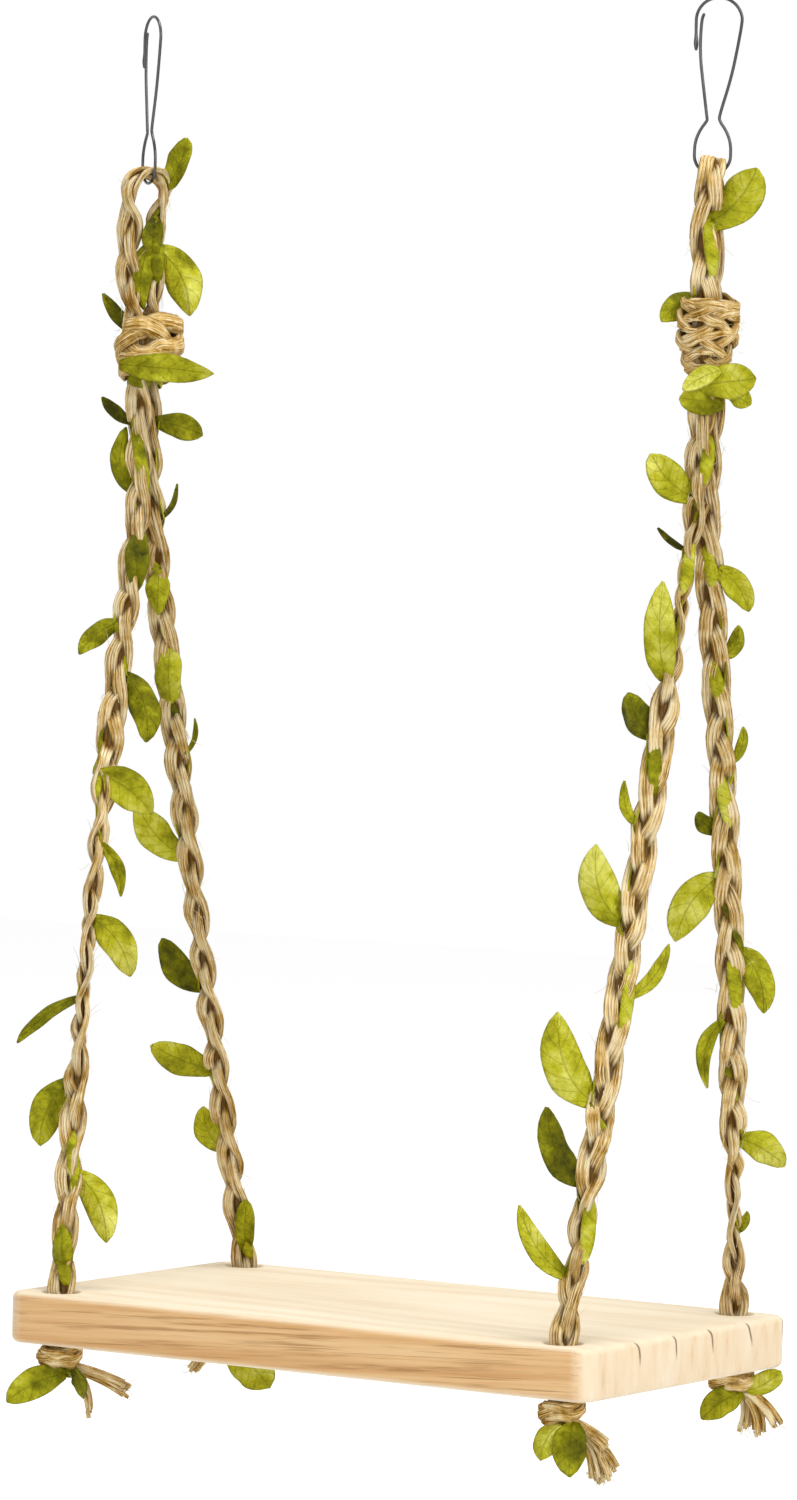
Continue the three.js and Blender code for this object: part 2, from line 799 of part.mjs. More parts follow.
function add(name, solid, material) {
  const mesh = new THREE.Mesh(geometryOf(solid), material);
  mesh.name = name;
  swing.add(mesh);
}

add("board", boardSolid(), WOOD);

[-1, 1].forEach((side) => {
  const name = nameOf(side);
  add(`${name}_hook`, hookFrame(side), STEEL);
  add(`${name}_hook_gate`, hookGate(side), STEEL);
  add(`${name}_rope_eye`, eyeSolid(side), JUTE);
  const winding = sweep(topKnotStations(side), circle(BAND_SIDES));
  console.log(`${name} top knot: least gap between turns ${leastGap(winding.rings).toFixed(2)} mm`);
  add(`${name}_top_knot`, solidOf(winding.geometry), JUTE);

  const run = -side;
  const drops = EYE_LEAVES[name].map(([drop, ...rest]) => [EYE_TOP - drop, ...rest]);
  const stem = (height) => runStation(side, run, height);
  const eyeLeaves = leafRibbon(stem, drops, RIBBON_WIDTH, RIBBON_LEAD);
  add(`${name}_eye_leaves`, cutClear(eyeLeaves, eyeSolid(side, CUT_CLEAR)), LEAF);

  const neck = {
    middle: point(side * HOOK_X, 0, KNOT_FOOT - CLEAR - COLLAR_WIDTH / 2),
    wide: heading(0),
    halfWide: neckReach(),
    halfThick: neckReach(),
  };
  const knotSolid = solidOf(sweep(topKnotStations(side, CLEAR), circle(BAND_SIDES)).geometry);
  const collar = leafCollar(neck, COLLAR_LEAVES[name]);
  add(`${name}_collar_leaves`, cutClear(collar, eyeSolid(side, CUT_CLEAR), knotSolid), LEAF);
});

CORNERS.forEach((corner) => {
  add(`${corner}_leg`, legSolid(corner), JUTE);
  const partner = corner.replace(/front|back/, (word) => (word === "front" ? "back" : "front"));
  const leaves = LEG_LEAVES[corner].map(([drawn, ...rest]) => [
    drawn * (PIVOT_HEIGHT / DRAWN_PIVOT),
    ...rest,
  ]);
  const stem = (height) => legStation(corner, height);
  const ribbon = leafRibbon(stem, leaves, RIBBON_WIDTH, RIBBON_LEAD);
  const freed = cutClear(ribbon, legSolid(corner, CUT_CLEAR), legSolid(partner, CLEAR));
  add(`${corner}_leg_leaves`, freed, LEAF);

  add(`${corner}_rope_end`, ropeEndSolid(corner), JUTE);
  const winding = sweep(stopperStations(corner), circle(BAND_SIDES));
  console.log(`${corner} stopper knot: least gap between turns ${leastGap(winding.rings).toFixed(2)} mm`);
  add(`${corner}_stopper_knot`, solidOf(winding.geometry), JUTE);

  const stub = {
    middle: holePoint(corner, STUB_END - CLEAR - COLLAR_WIDTH / 2),
    wide: heading(0),
    halfWide: STUB_RADIUS,
    halfThick: STUB_RADIUS,
  };
  const knotSolid = solidOf(sweep(stopperStations(corner, CLEAR), circle(BAND_SIDES)).geometry);
  const endLeaves = leafCollar(stub, END_LEAVES[corner]);
  add(`${corner}_end_leaves`, cutClear(endLeaves, ropeEndSolid(corner, CUT_CLEAR), knotSolid), LEAF);
});

const part = new THREE.Group();
part.add(swing);

export default part;
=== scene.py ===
"""Dresses the hanging platform swing: plaited jute ropes, cloth leaves, wire hooks, softwood board.

Everything is drawn in millimetres, with heights from the board's top, and then moved to the frame,
whose origin lies on the bar line half way between the hooks.
"""

import math
import random
from bisect import bisect_right
from collections import namedtuple

import bmesh
import bpy
from mathutils import Matrix, Vector, noise
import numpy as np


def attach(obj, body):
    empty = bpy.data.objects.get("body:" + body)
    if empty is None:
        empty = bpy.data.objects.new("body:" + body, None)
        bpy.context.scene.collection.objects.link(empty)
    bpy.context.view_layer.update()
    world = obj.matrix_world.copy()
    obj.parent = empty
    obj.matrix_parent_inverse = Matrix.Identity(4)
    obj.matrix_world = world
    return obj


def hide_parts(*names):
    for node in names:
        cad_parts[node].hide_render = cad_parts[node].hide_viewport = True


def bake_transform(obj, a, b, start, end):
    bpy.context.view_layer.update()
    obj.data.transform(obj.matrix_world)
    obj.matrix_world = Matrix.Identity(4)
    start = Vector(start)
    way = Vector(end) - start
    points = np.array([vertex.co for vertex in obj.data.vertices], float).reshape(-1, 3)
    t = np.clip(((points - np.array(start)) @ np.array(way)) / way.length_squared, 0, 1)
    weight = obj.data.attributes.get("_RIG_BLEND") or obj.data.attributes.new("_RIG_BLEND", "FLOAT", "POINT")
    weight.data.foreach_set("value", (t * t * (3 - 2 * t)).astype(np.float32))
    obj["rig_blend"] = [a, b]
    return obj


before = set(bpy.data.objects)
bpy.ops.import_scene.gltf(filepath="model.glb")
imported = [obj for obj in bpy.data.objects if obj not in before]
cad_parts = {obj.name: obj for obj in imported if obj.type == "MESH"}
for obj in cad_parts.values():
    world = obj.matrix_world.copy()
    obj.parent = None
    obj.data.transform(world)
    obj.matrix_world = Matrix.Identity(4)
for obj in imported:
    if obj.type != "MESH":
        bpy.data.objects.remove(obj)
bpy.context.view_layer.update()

# Board
BOARD_LENGTH = 199
BOARD_DEPTH = 112
BOARD_THICK = 15
BOARD_CORNER = 5.5
BOARD_EASE = 2
CORNER_STEPS = 10
EASE_STEPS = 5
SHARP_FROM = 30
HOLE_BORE = 10
HOLE_SIDES = 36
HOLE_FROM_END = 13.5
HOLE_FROM_EDGE = 9
HOLE_X = BOARD_LENGTH / 2 - HOLE_FROM_END
HOLE_Y = BOARD_DEPTH / 2 - HOLE_FROM_EDGE

# Rope: a flat plait of three strands, each of four yarns side by side
ROPE_WIDTH = 8.4
ROPE_THICK = 4.4
STRANDS = 3
YARNS = 4
YARN_HALF = 0.66
YARN_THIN = 0.78
YARN_GAP = 0.92
YARN_SIDES = 10
STRAND_HALF = YARN_GAP * (YARNS - 1) / 2 + YARN_HALF
PLAIT_CYCLE = 46
LINGER = 1.0
ROPE_STEP = 1.4
CORE_WIDE = 0.45
CORE_THIN = 0.3
CORE_SIDES = 8
# Painted shade: of the plait's inside, deep in the plait and at the seams between yarns
CORE_SHADE = 0.95
DEEP_FROM = 0.32
DEEP_FADE = 0.46
SEAM_SHADE = 0.6
CLEAR = 0.3

# How strands and yarns stray: an amount, and the length of rope over which it changes
STRAND_LAG = (0.5, 18)
YARN_WANDER = (0.45, 8)
YARN_RISE = (0.35, 7)
YARN_FULLNESS = (0.3, 9)
YARN_TONE = (0.3, 30)
YARN_PALER = 0.06
YARN_ROUGH = 0.2
RIDGES = 5
RIDGE_DEPTH = 0.06
RIDGE_TWIST = 0.5

# Legs
PIVOT_HEIGHT = 258
SPLIT_HEIGHT = PIVOT_HEIGHT - 27
SPLIT_SOFTNESS = 6
LEG_STEP = 2
FOOT_ROUND = 0.9
BEND_ABOVE = 6
BEND_BELOW = 8

# Eyes and knots
HOOK_X = 97
NECK_HALF = (ROPE_THICK + 0.4) / 2
NECK_END = PIVOT_HEIGHT + ROPE_WIDTH / 2 + CLEAR
KNOT_FOOT = NECK_END + 6.8
KNOT_TOP = KNOT_FOOT + 21.33
KNOT_MIDDLE = (KNOT_FOOT + KNOT_TOP) / 2
KNOT_SHIFT = {"left": (1.2, 0.8, -3.2), "right": (0, 0, 0.6)}
KNOT_INNER = math.hypot(NECK_HALF + ROPE_THICK / 4, ROPE_WIDTH / 2)
EYE_TOP = KNOT_TOP + 38.3
EYE_WIDTH = 10.6
EYE_BEND = EYE_TOP - EYE_WIDTH / 2
EYE_FLARE = 10
EYE_ROPE_WIDTH = 8.0
EYE_BOW = {-1: 3.4, 1: 1.8}
EYE_BOW_TURN = 213
EYE_TWIST = {-1: 32, 1: 0}
EYE_RUN_STEPS = 24
EYE_BEND_STEPS = 12
TUCK = 5

# Rope ends below the board
STUB_RADIUS = HOLE_BORE / 2 - 1.2
STUB_TOP = -ROPE_WIDTH / 2 - 5 * CLEAR
STUB_STEPS = 14
STUB_TURN = 40
STOPPER_HIGH = 6.8
STOPPER_MIDDLE = -BOARD_THICK - CLEAR - STOPPER_HIGH / 2
STUB_END = STOPPER_MIDDLE - STOPPER_HIGH / 2
END_COLLAR = STUB_RADIUS + 0.4
FRAY_SIDES = 7
FRAY_STEPS = 8
FRAY_TAPER = 0.75
FRAY_HAIRS = 3

# Stray hairs, and the lengths of rope that are bare of them
EYE_HAIRS = 30
EYE_BARE = 12
LEG_HAIRS = 90
LEG_BARE_TOP = 16
LEG_BARE_FOOT = 10
KNOT_HAIRS = 26
KNOT_HAIRS_OFF = 9
KNOT_HAIRS_HIGH = 7
HAIR_HALF = 0.08
HAIR_SIDES = 4
HAIR_STEPS = 4
HAIR_TAPER = 0.4
HAIR_TONE = 0.35

# Wire hooks
WIRE = 0.9
WIRE_SIDES = 14
HOOK_HEIGHT = EYE_TOP - 3.4
HOOK_REACH = 49.4
HANG_HEIGHT = HOOK_HEIGHT + HOOK_REACH - 0.65
HOOK_TURN = 33
CROWN_RADIUS = 6.5
CROWN_SHIFT = 1
LOOP_RADIUS = 5.1
WAIST_HALF = 1.7
WAIST_HEIGHT = 15.5
SHOULDER = [(WAIST_HALF, WAIST_HEIGHT - 0.6), (3.7, 12.2), (5.0, 8.8)]
ARC_STEPS = 12
EASE_ROUNDS = 3
TAIL_DROP = 15
TAIL_TOE = 0.2
TAIL_SWELL = 0.55
TAIL_SWELL_AT = 2.2
TAIL_SWELL_HALF = 2.4
GATE_GAP = 0.4
GATE_CURL = 2

# Leaf ribbon
LEAF_THICK = 0.4
LEAF_SUNK = -1.8
LEAF_ACROSS = 8
LEAF_ALONG = 14
LEAF_RAGGED = 0.16
LEAF_CRUMPLE = 0.6
BAND_ACROSS = 4
BAND_UV = (0.56, 0.985)
STRIP_WIDTH = 4.0
STRIP_STEPS = 12
STRIP_SUNK = -2.0
STRIP_LIFT = -0.25
WOUND_LIFT = -0.8
WIND_LEAD = 25
COLLAR_TURNS = (200, 320, 440)
COLLAR_SWEEP = 140
COLLAR_TONE = 0.4
COLLAR_RISE = 1
COLLAR_DROP = 2.5
COLLAR_BELOW = 1.4

# Leaves, one by one: height and heading of the base on the rope, then heading, rise, length, width,
# roll and tone, from dark to light, of the leaf. On the eyes the height is the drop below the eye's
# top. In the clusters below knots it is the drop below the knot, followed by the distance off the rope.
LEG_LEAVES = {
    "left_front": [
        (254.5, 195, 200, 38, 12, 4, 80, 0.02),
        (234, 228, 220, 84, 19, 6, 70, 0.30),
        (222, 298, 300, -78, 18, 7.5, 0, 0.15),
        (195, 222, 222, -40, 15, 6.8, 85, 0.32),
        (179.5, 20, 20, -70, 21, 9, 100, 0.28),
        (150.5, 270, 38, -36, 20, 11, 80, 0.55),
        (130, 20, 20, -66, 17, 4.5, 100, 0.35),
        (108, 45, 45, -55, 21, 10, 80, 0.60),
        (85, 222, 222, -37, 23, 4, 70, 0.10),
        (60, 205, 205, -64, 21, 10, 95, 0.45),
        (34, 310, 40, -64, 22, 10, 85, 0.65),
        (6, 290, 290, 80, 14, 7, 0, 0.30),
    ],
    "left_back": [
        (255, 25, 25, -14, 15, 8, 75, 0.25),
        (226, 45, 45, 62, 12, 1.8, 85, 0.02),
        (211, 300, 300, -84, 14, 7, 0, 0.50),
        (171, 285, 292, 84, 18, 8.5, 0, 0.60),
        (156, 40, 40, 75, 11, 1.8, 90, 0.10),
        (125, 222, 222, 46, 21, 10, 90, 0.65),
        (85, 200, 200, 50, 19, 9, 85, 0.12),
        (60, 215, 215, 22, 20, 10, 100, 0.55),
        (36, 210, 210, 65, 14, 8, 90, 0.50),
        (6, 300, 300, 80, 15, 7, 0, 0.30),
    ],
    "right_front": [
        (235, 222, 222, 44, 17, 10.5, 85, 0.65),
        (220, 195, 195, 34, 11, 2, 90, 0.02),
        (184, 320, 280, 82, 27, 9.5, -10, 0.60),
        (168, 195, 195, 58, 14, 10, 95, 0.15),
        (143, 222, 222, 72, 13, 3.5, 90, 0.40),
        (116, 215, 215, 70, 23, 11.5, 90, 0.70),
        (95, 40, 40, 54, 19, 4.5, 80, 0.50),
        (66, 222, 222, 68, 27, 12, 85, 0.65),
        (44, 195, 195, 62, 23, 9.5, 95, 0.12),
        (18, 220, 220, 55, 24, 6.5, 85, 0.60),
    ],
    "right_back": [
        (215, 40, 40, -52, 15, 8, 85, 0.65),
        (190, 25, 25, 66, 10, 5, 90, 0.40),
        (160, 40, 40, 72, 11, 3.5, 90, 0.40),
        (140, 210, 210, 46, 8, 5, 90, 0.10),
        (127, 222, 222, -56, 22, 11.5, 90, 0.70),
        (106, 25, 25, -66, 19, 9, 90, 0.55),
        (86, 205, 205, -78, 20, 4.8, 80, 0.50),
        (51.5, 40, 40, -30, 16, 9, 80, 0.65),
        (24, 30, 30, 62, 7, 3, 90, 0.40),
    ],
}
EYE_LEAVES = {
    "left": [
        (4, 262, 352, 62, 16, 9, 85, 0.45),
        (13, 262, 285, -80, 15, 6, 15, 0.12),
        (20, 290, 245, -77, 22, 8, 50, 0.42),
        (23, 30, 30, -62, 22, 11.5, 90, 0.55),
        (49, 213, 205, 43, 19, 4.5, 80, 0.02),
    ],
    "right": [
        (17, 320, 28, 50, 20, 12, 85, 0.60),
        (38, 235, 213, -35, 12, 8, 80, 0.45),
    ],
}
COLLAR_LEAVES = {
    "left": [(-3.5, 6.6, 268, 28, -5, 28, 9, 80, 0.55)],
    "right": [
        (6.5, 0.9, 350, 222, 6, 12.5, 8, 80, 0.45),
        (1.5, 0.9, 285, 30, 8, 15.5, 10, 80, 0.60),
        (-2.5, 2.4, 328, 222, -30, 12, 6, 70, 0.85),
        (4, 0.9, 10, 20, -25, 7, 6, 80, 0.60),
    ],
}
END_LEAVES = {
    "left_front": [(1, 0.9, 325, 215, -27, 19, 9, 80, 0.45), (0, 0.9, 350, 20, -70, 9, 6, 60, 0.10)],
    "left_back": [(0, 0.9, 225, 225, -25, 13, 8, 80, 0.35), (4, 0.9, 240, 25, -38, 17, 13, 80, 0.55)],
    "right_front": [
        (-1, 1.5, 335, 292, -80, 14.5, 10, 10, 0.30),
        (-0.5, 1.2, 300, 240, -56, 12, 9, 40, 0.60),
    ],
    "right_back": [(0, 0.9, 335, 213, -36, 14, 9, 80, 0.50), (0, 0.9, 350, 20, 32, 12, 8, 70, 0.65)],
}

# Stretches of bare ribbon that lie on the plait: height and heading at the upper and lower end, tone
LEG_STRIPS = {
    "left_front": [(259, 250, 230, 335, 0.45), (47, 280, 31, 320, 0.5), (13, 280, 2, 310, 0.3)],
    "left_back": [(188, 290, 172, 320, 0.5), (16, 285, 2, 325, 0.45)],
    "right_front": [
        (253, 345, 238, 315, 0.6),
        (222, 280, 207, 320, 0.7),
        (168, 280, 151, 320, 0.3),
        (106, 335, 82, 345, 0.65),
        (40, 300, 22, 340, 0.7),
    ],
    "right_back": [
        (222, 280, 206, 330, 0.6),
        (190, 280, 175, 320, 0.5),
        (158, 285, 141, 325, 0.6),
        (104, 310, 88, 335, 0.6),
    ],
}
EYE_STRIPS = {
    "left": [(313, 290, 296, 320, 0.35)],
    "right": [(313, 315, 296, 345, 0.75)],
}

# Loose strands below each stopper knot: heading, rise, length, yarns and spread of the cut end
TAILS = {
    "left_front": [(33, -20, 20, 11, 2.6), (45, -62, 17, 4, 1.3)],
    "left_back": [(213, -38, 18, 6, 1.8), (110, -55, 12, 6, 1.8)],
    "right_front": [(33, -54, 19, 22, 4.6), (20, -30, 14, 5, 2.2)],
    "right_back": [(60, -80, 13, 7, 1.8), (33, -65, 15, 7, 1.8), (22, -42, 16, 7, 1.8)],
}

# Heading of the plait's width down each leg, and how far each leg bows at mid height
LEG_TWIST = {
    "left_front": [(258, 0), (185, 0), (130, 105), (85, 132), (45, 180), (0, 180)],
    "left_back": [(258, 0), (190, 20), (90, -15), (0, 0)],
    "right_front": [(258, 0), (205, -57), (160, -140), (60, -150), (28, -200), (0, -180)],
    "right_back": [(258, 0), (200, 25), (70, 45), (32, 115), (0, 180)],
}
LEG_BOW = {
    "left_front": (-2, -1.4),
    "left_back": (-1, -0.7),
    "right_front": (0.3, 0.2),
    "right_back": (2.2, 1.5),
}

# Seeds of what is uneven in the ropes and knots, and of the random draws
EYE_SEED = {"left": 10.0, "right": 12.0}
KNOT_SEED = {"left": 4.0, "right": 6.0}
LEG_SEED = {"left_front": 30.0, "left_back": 29.0, "right_front": 33.0, "right_back": 32.0}
STUB_SEED = 3.0
CORE_SEED = 4.0
FILLING_SEED = 8.0
LUMP_SEED = 2
EYE_DRAWS = 100
LEG_DRAWS = 200
END_DRAWS = 300

SIDES = {"left": -1, "right": 1}
CORNERS = list(LEG_LEAVES)
UP = Vector((0, 0, 1))
TO_FRAME = Matrix.Scale(0.001, 4) @ Matrix.Translation((0, 0, -HANG_HEIGHT))


# Small helpers


def side_name(corner):
    return corner.split("_")[0]


def side_of(corner):
    return SIDES[side_name(corner)]


def depth_of(corner):
    return -1 if corner.endswith("front") else 1


def hole_at(corner, height):
    """The middle of a corner's hole at a height."""
    return Vector((side_of(corner) * HOLE_X, depth_of(corner) * HOLE_Y, height))


def hook_at(side, height):
    """The line straight below a hook, at a height."""
    return Vector((side * HOOK_X, 0, height))


def lerp(start, end, share):
    return start + (end - start) * share


def clamp(value):
    return min(max(value, 0.0), 1.0)


def smooth(value):
    share = clamp(value)
    return share * share * (3 - 2 * share)


def heading(degrees):
    angle = math.radians(degrees)
    return Vector((math.cos(angle), math.sin(angle), 0))


def direction(degrees, rise):
    angle = math.radians(rise)
    return heading(degrees) * math.cos(angle) + UP * math.sin(angle)


def square_to(way, along):
    """A way made square to the way along."""
    return (way - along * way.dot(along)).normalized()


def read(pairs, height):
    """A value read off pairs of height and value that run downwards."""
    for (high, at_high), (low, at_low) in zip(pairs, pairs[1:]):
        if height >= low:
            return lerp(at_high, at_low, smooth((high - height) / (high - low)))
    return pairs[-1][1]


def bend_point(start, middle, end, share):
    """A spot on a simple bend from start to end, and the way it runs there."""
    first = start.lerp(middle, share)
    second = middle.lerp(end, share)
    return first.lerp(second, share), (second - first).normalized()


def running_lengths(points):
    """The length along a line of points up to each of them."""
    lengths = [0.0]
    for before, after in zip(points, points[1:]):
        lengths.append(lengths[-1] + (after - before).length)
    return lengths


def way_at(points, i):
    """The way that a line of points runs at one of them."""
    last = len(points) - 1
    return (points[min(i + 1, last)] - points[max(i - 1, 0)]).normalized()


# Routes of the ropes

Place = namedtuple("Place", "middle along wide flat half_wide half_thick")


def leg_middle(corner, height):
    """A leg's middle: beside the other leg down to the split, then out to its hole, a little bowed."""
    below = SPLIT_HEIGHT - height
    parted = SPLIT_SOFTNESS * math.log(1 + math.exp(below / SPLIT_SOFTNESS))
    slope = (HOLE_Y - NECK_HALF) / SPLIT_HEIGHT
    bow = math.sin(math.pi * clamp(height / SPLIT_HEIGHT))
    bow_x, bow_y = LEG_BOW[corner]
    x = side_of(corner) * lerp(HOLE_X, HOOK_X, clamp(height / PIVOT_HEIGHT)) + bow * bow_x
    y = depth_of(corner) * min(NECK_HALF + slope * parted, HOLE_Y) + bow * bow_y
    return Vector((x, y, height))


def run_heading(side, height):
    share = clamp((height - NECK_END) / (KNOT_TOP - NECK_END))
    return lerp(90, side * HOOK_TURN + 90, share)


def eye_bow(run, height):
    """The share of its bow and twist that the front run of an eye has between its knot and its top."""
    share = clamp((height - KNOT_MIDDLE) / (EYE_TOP - KNOT_MIDDLE))
    return math.sin(math.pi * share) if run < 0 else 0


def run_spot(side, run, height):
    """Middle, wide way and half width of one of the two runs of rope above the legs."""
    turn = run_heading(side, height)
    flare = clamp((height - (EYE_BEND - EYE_FLARE)) / EYE_FLARE)
    offset = lerp(NECK_HALF, EYE_WIDTH / 2, smooth(flare))
    bow = eye_bow(run, height)
    middle = hook_at(side, height) + heading(turn) * run * offset
    middle += heading(EYE_BOW_TURN) * (EYE_BOW[side] * bow)
    wide = heading(turn - 90 + EYE_TWIST[side] * bow)
    return middle, wide, lerp(ROPE_WIDTH, EYE_ROPE_WIDTH, flare) / 2


def leg_spot(corner, height):
    """The same for a leg, which goes on into its run above and narrows into its hole below."""
    if height > NECK_END:
        return run_spot(side_of(corner), depth_of(corner), height)
    half = ROPE_WIDTH / 2
    past = clamp(-height / half)
    half_wide = half * math.sqrt(1 - FOOT_ROUND * past * past)
    return leg_middle(corner, height), heading(read(LEG_TWIST[corner], height)), half_wide


def leg_spots(corner):
    top = KNOT_FOOT + TUCK
    foot = -ROPE_WIDTH / 2
    count = round((top - foot) / LEG_STEP)
    return [leg_spot(corner, lerp(top, foot, i / count)) for i in range(count + 1)]


def eye_spots(side):
    """Up the front run, over the bend on the hook and down the back run."""
    foot = KNOT_FOOT + TUCK
    heights = [lerp(foot, EYE_BEND, i / EYE_RUN_STEPS) for i in range(EYE_RUN_STEPS + 1)]
    spots = [run_spot(side, -1, height) for height in heights]
    turn = side * HOOK_TURN
    for i in range(1, EYE_BEND_STEPS):
        angle = math.pi * (1 - i / EYE_BEND_STEPS)
        middle = hook_at(side, EYE_BEND)
        middle += (heading(turn + 90) * math.cos(angle) + UP * math.sin(angle)) * (EYE_WIDTH / 2)
        bow = eye_bow(math.cos(angle), middle.z)
        middle += heading(EYE_BOW_TURN) * (EYE_BOW[side] * bow)
        spots.append((middle, heading(turn + EYE_TWIST[side] * bow), EYE_ROPE_WIDTH / 2))
    return spots + [run_spot(side, 1, height) for height in reversed(heights)]


class Route:
    """A rope's places, read by the length from its start."""

    def __init__(self, spots):
        middles = [middle for middle, _, _ in spots]
        self.lengths = running_lengths(middles)
        self.length = self.lengths[-1]
        self.places = []
        for i, (middle, wide, half_wide) in enumerate(spots):
            along = way_at(middles, i)
            across = square_to(wide, along)
            pressed = max((2 * half_wide / ROPE_WIDTH) ** 2, 0.5)
            half_thick = pressed * ROPE_THICK / 2
            self.places.append(Place(middle, along, across, along.cross(across), half_wide, half_thick))

    def at(self, length):
        i = min(max(bisect_right(self.lengths, length) - 1, 0), len(self.places) - 2)
        share = (length - self.lengths[i]) / (self.lengths[i + 1] - self.lengths[i])
        pairs = zip(self.places[i], self.places[i + 1])
        return Place(*[lerp(start, end, share) for start, end in pairs])


# Meshes: a grid rolled into a tube or bent into a leaf

# Each ring also gives the painted shade of the jute at a spot: darker in recesses, where shade falls
Ring = namedtuple("Ring", "middle wide thin ripple hollow tone", defaults=(0.0,))


def plain(_):
    return 0.0


def new_bmesh():
    bm = bmesh.new()
    bm.loops.layers.uv.new("UVMap")
    bm.verts.layers.float.new("hollow")
    bm.verts.layers.float.new("tone")
    return bm


def add_grid(bm, across, along, stretch=lambda u, v: (u, v)):
    """The verts of a new grid, from -1 to 1 both ways, whose UV map stretch(u, v) changes."""
    uv_layer = bm.loops.layers.uv["UVMap"]
    verts = bmesh.ops.create_grid(bm, x_segments=across, y_segments=along, size=1, calc_uvs=True)["verts"]
    for face in {face for vert in verts for face in vert.link_faces}:
        for loop in face.loops:
            loop[uv_layer].uv = stretch(*loop[uv_layer].uv)
    return verts


def add_tube(bm, around, along, ring, length, closed=False):
    """A tube whose ring(share) gives each ring; the UV map is in millimetres round and along it."""
    painted_shade_layer = bm.verts.layers.float["hollow"]
    tone_layer = bm.verts.layers.float["tone"]
    rings = [ring(row / along) for row in range(along + 1)]
    girth = math.pi * (rings[0].wide.length + rings[0].thin.length)
    verts = add_grid(bm, around, along, lambda u, v: (u * girth, v * length))
    for vert in verts:
        at = rings[round((vert.co.y + 1) / 2 * along)]
        angle = math.pi * (vert.co.x + 1)
        out = at.wide * math.cos(angle) + at.thin * math.sin(angle)
        vert.co = at.middle + out * (1 + at.ripple(angle))
        vert[painted_shade_layer] = at.hollow(vert.co)
        vert[tone_layer] = at.tone
    bmesh.ops.remove_doubles(bm, verts=verts, dist=1e-4)
    if not closed:
        rims = [edge for edge in bm.edges if edge.is_boundary]
        bmesh.ops.holes_fill(bm, edges=rims, sides=0)


def finish_mesh(bm):
    """Closes the drawing: normals outward, moved into the frame, smooth."""
    bmesh.ops.recalc_face_normals(bm, faces=bm.faces)
    bmesh.ops.transform(bm, matrix=TO_FRAME, verts=bm.verts)
    mesh = bpy.data.meshes.new("mesh")
    bm.to_mesh(mesh)
    bm.free()
    mesh.shade_smooth()
    return mesh


# Plaited rope


def stray(kind, length, *key):
    """How far something strays at a length along its rope; the key tells yarns and strands apart."""
    amount, reach = kind
    return amount * noise.noise(Vector((length / reach, *key)))


def fibrous(spot, seed):
    """The ripple of a yarn's section: twisted fibre, uneven all along."""

    def ripple(angle):
        ridge = RIDGE_DEPTH * math.cos(RIDGES * angle + spot.z * RIDGE_TWIST + seed)
        at = spot * 0.45 + Vector((1.5 * math.cos(angle), 1.5 * math.sin(angle), seed))
        return ridge + YARN_ROUGH * noise.noise(at)

    return ripple


def swing_out(phase):
    """Where a strand lies between the edges of the plait: it lingers at each edge."""
    return math.tanh(LINGER * math.sin(phase)) / math.tanh(LINGER)


def yarn_ring(route, strand, yarn, seed):
    """Rings of one yarn of one strand of the flat plait."""
    wave = 2 * math.pi / PLAIT_CYCLE
    own = seed + strand * 7.3 + yarn * 2.9

    def ring(share):
        length = route.length * share
        place = route.at(length)
        phase = wave * length + 2 * math.pi * strand / STRANDS + stray(STRAND_LAG, length, seed, strand)
        reach = place.half_wide - STRAND_HALF
        lift = place.half_thick - YARN_THIN
        lean = reach * (swing_out(phase + 0.05) - swing_out(phase - 0.05)) / 0.1 * wave
        wide = (place.wide - place.along * lean).normalized()
        middle = place.middle + place.wide * (reach * swing_out(phase))
        middle += place.flat * (lift * math.sin(2 * phase) + stray(YARN_RISE, length, own, 5))
        middle += wide * (YARN_GAP * (yarn - (YARNS - 1) / 2) + stray(YARN_WANDER, length, own, 0))
        half = YARN_HALF * (1 + stray(YARN_FULLNESS, length, own, 9))
        tone = YARN_PALER + stray(YARN_TONE, length, own, 2)

        # Painted shade: darker deep inside the plait and at the seams between yarns
        def hollow(spot):
            off = spot - place.middle
            side = off.dot(place.wide) / place.half_wide
            over = off.dot(place.flat) / place.half_thick
            deep = 1 - smooth((math.hypot(side, over) - DEEP_FROM) / DEEP_FADE)
            seam = SEAM_SHADE * clamp(abs((spot - middle).dot(wide)) / YARN_HALF) ** 4
            return max(deep, seam)

        return Ring(middle, wide * half, place.flat * YARN_THIN, fibrous(middle, own), hollow, tone)

    return ring


def core_ring(route):
    """Rings of the inside of the plait, painted in shade, which closes the gaps between its strands."""

    def ring(share):
        place = route.at(route.length * share)
        wide = place.wide * (CORE_WIDE * place.half_wide)
        thin = place.flat * (CORE_THIN * place.half_thick)
        return Ring(place.middle, wide, thin, fibrous(place.middle, CORE_SEED), lambda _: CORE_SHADE)

    return ring


def add_plait(bm, route, seed):
    steps = round(route.length / ROPE_STEP)
    add_tube(bm, CORE_SIDES, steps, core_ring(route), route.length)
    for strand in range(STRANDS):
        for yarn in range(YARNS):
            add_tube(bm, YARN_SIDES, steps, yarn_ring(route, strand, yarn, seed), route.length)


def plait_mesh(route, seed):
    bm = new_bmesh()
    add_plait(bm, route, seed)
    return finish_mesh(bm)


# Knots: one strand woven many times round the rope, over and under itself

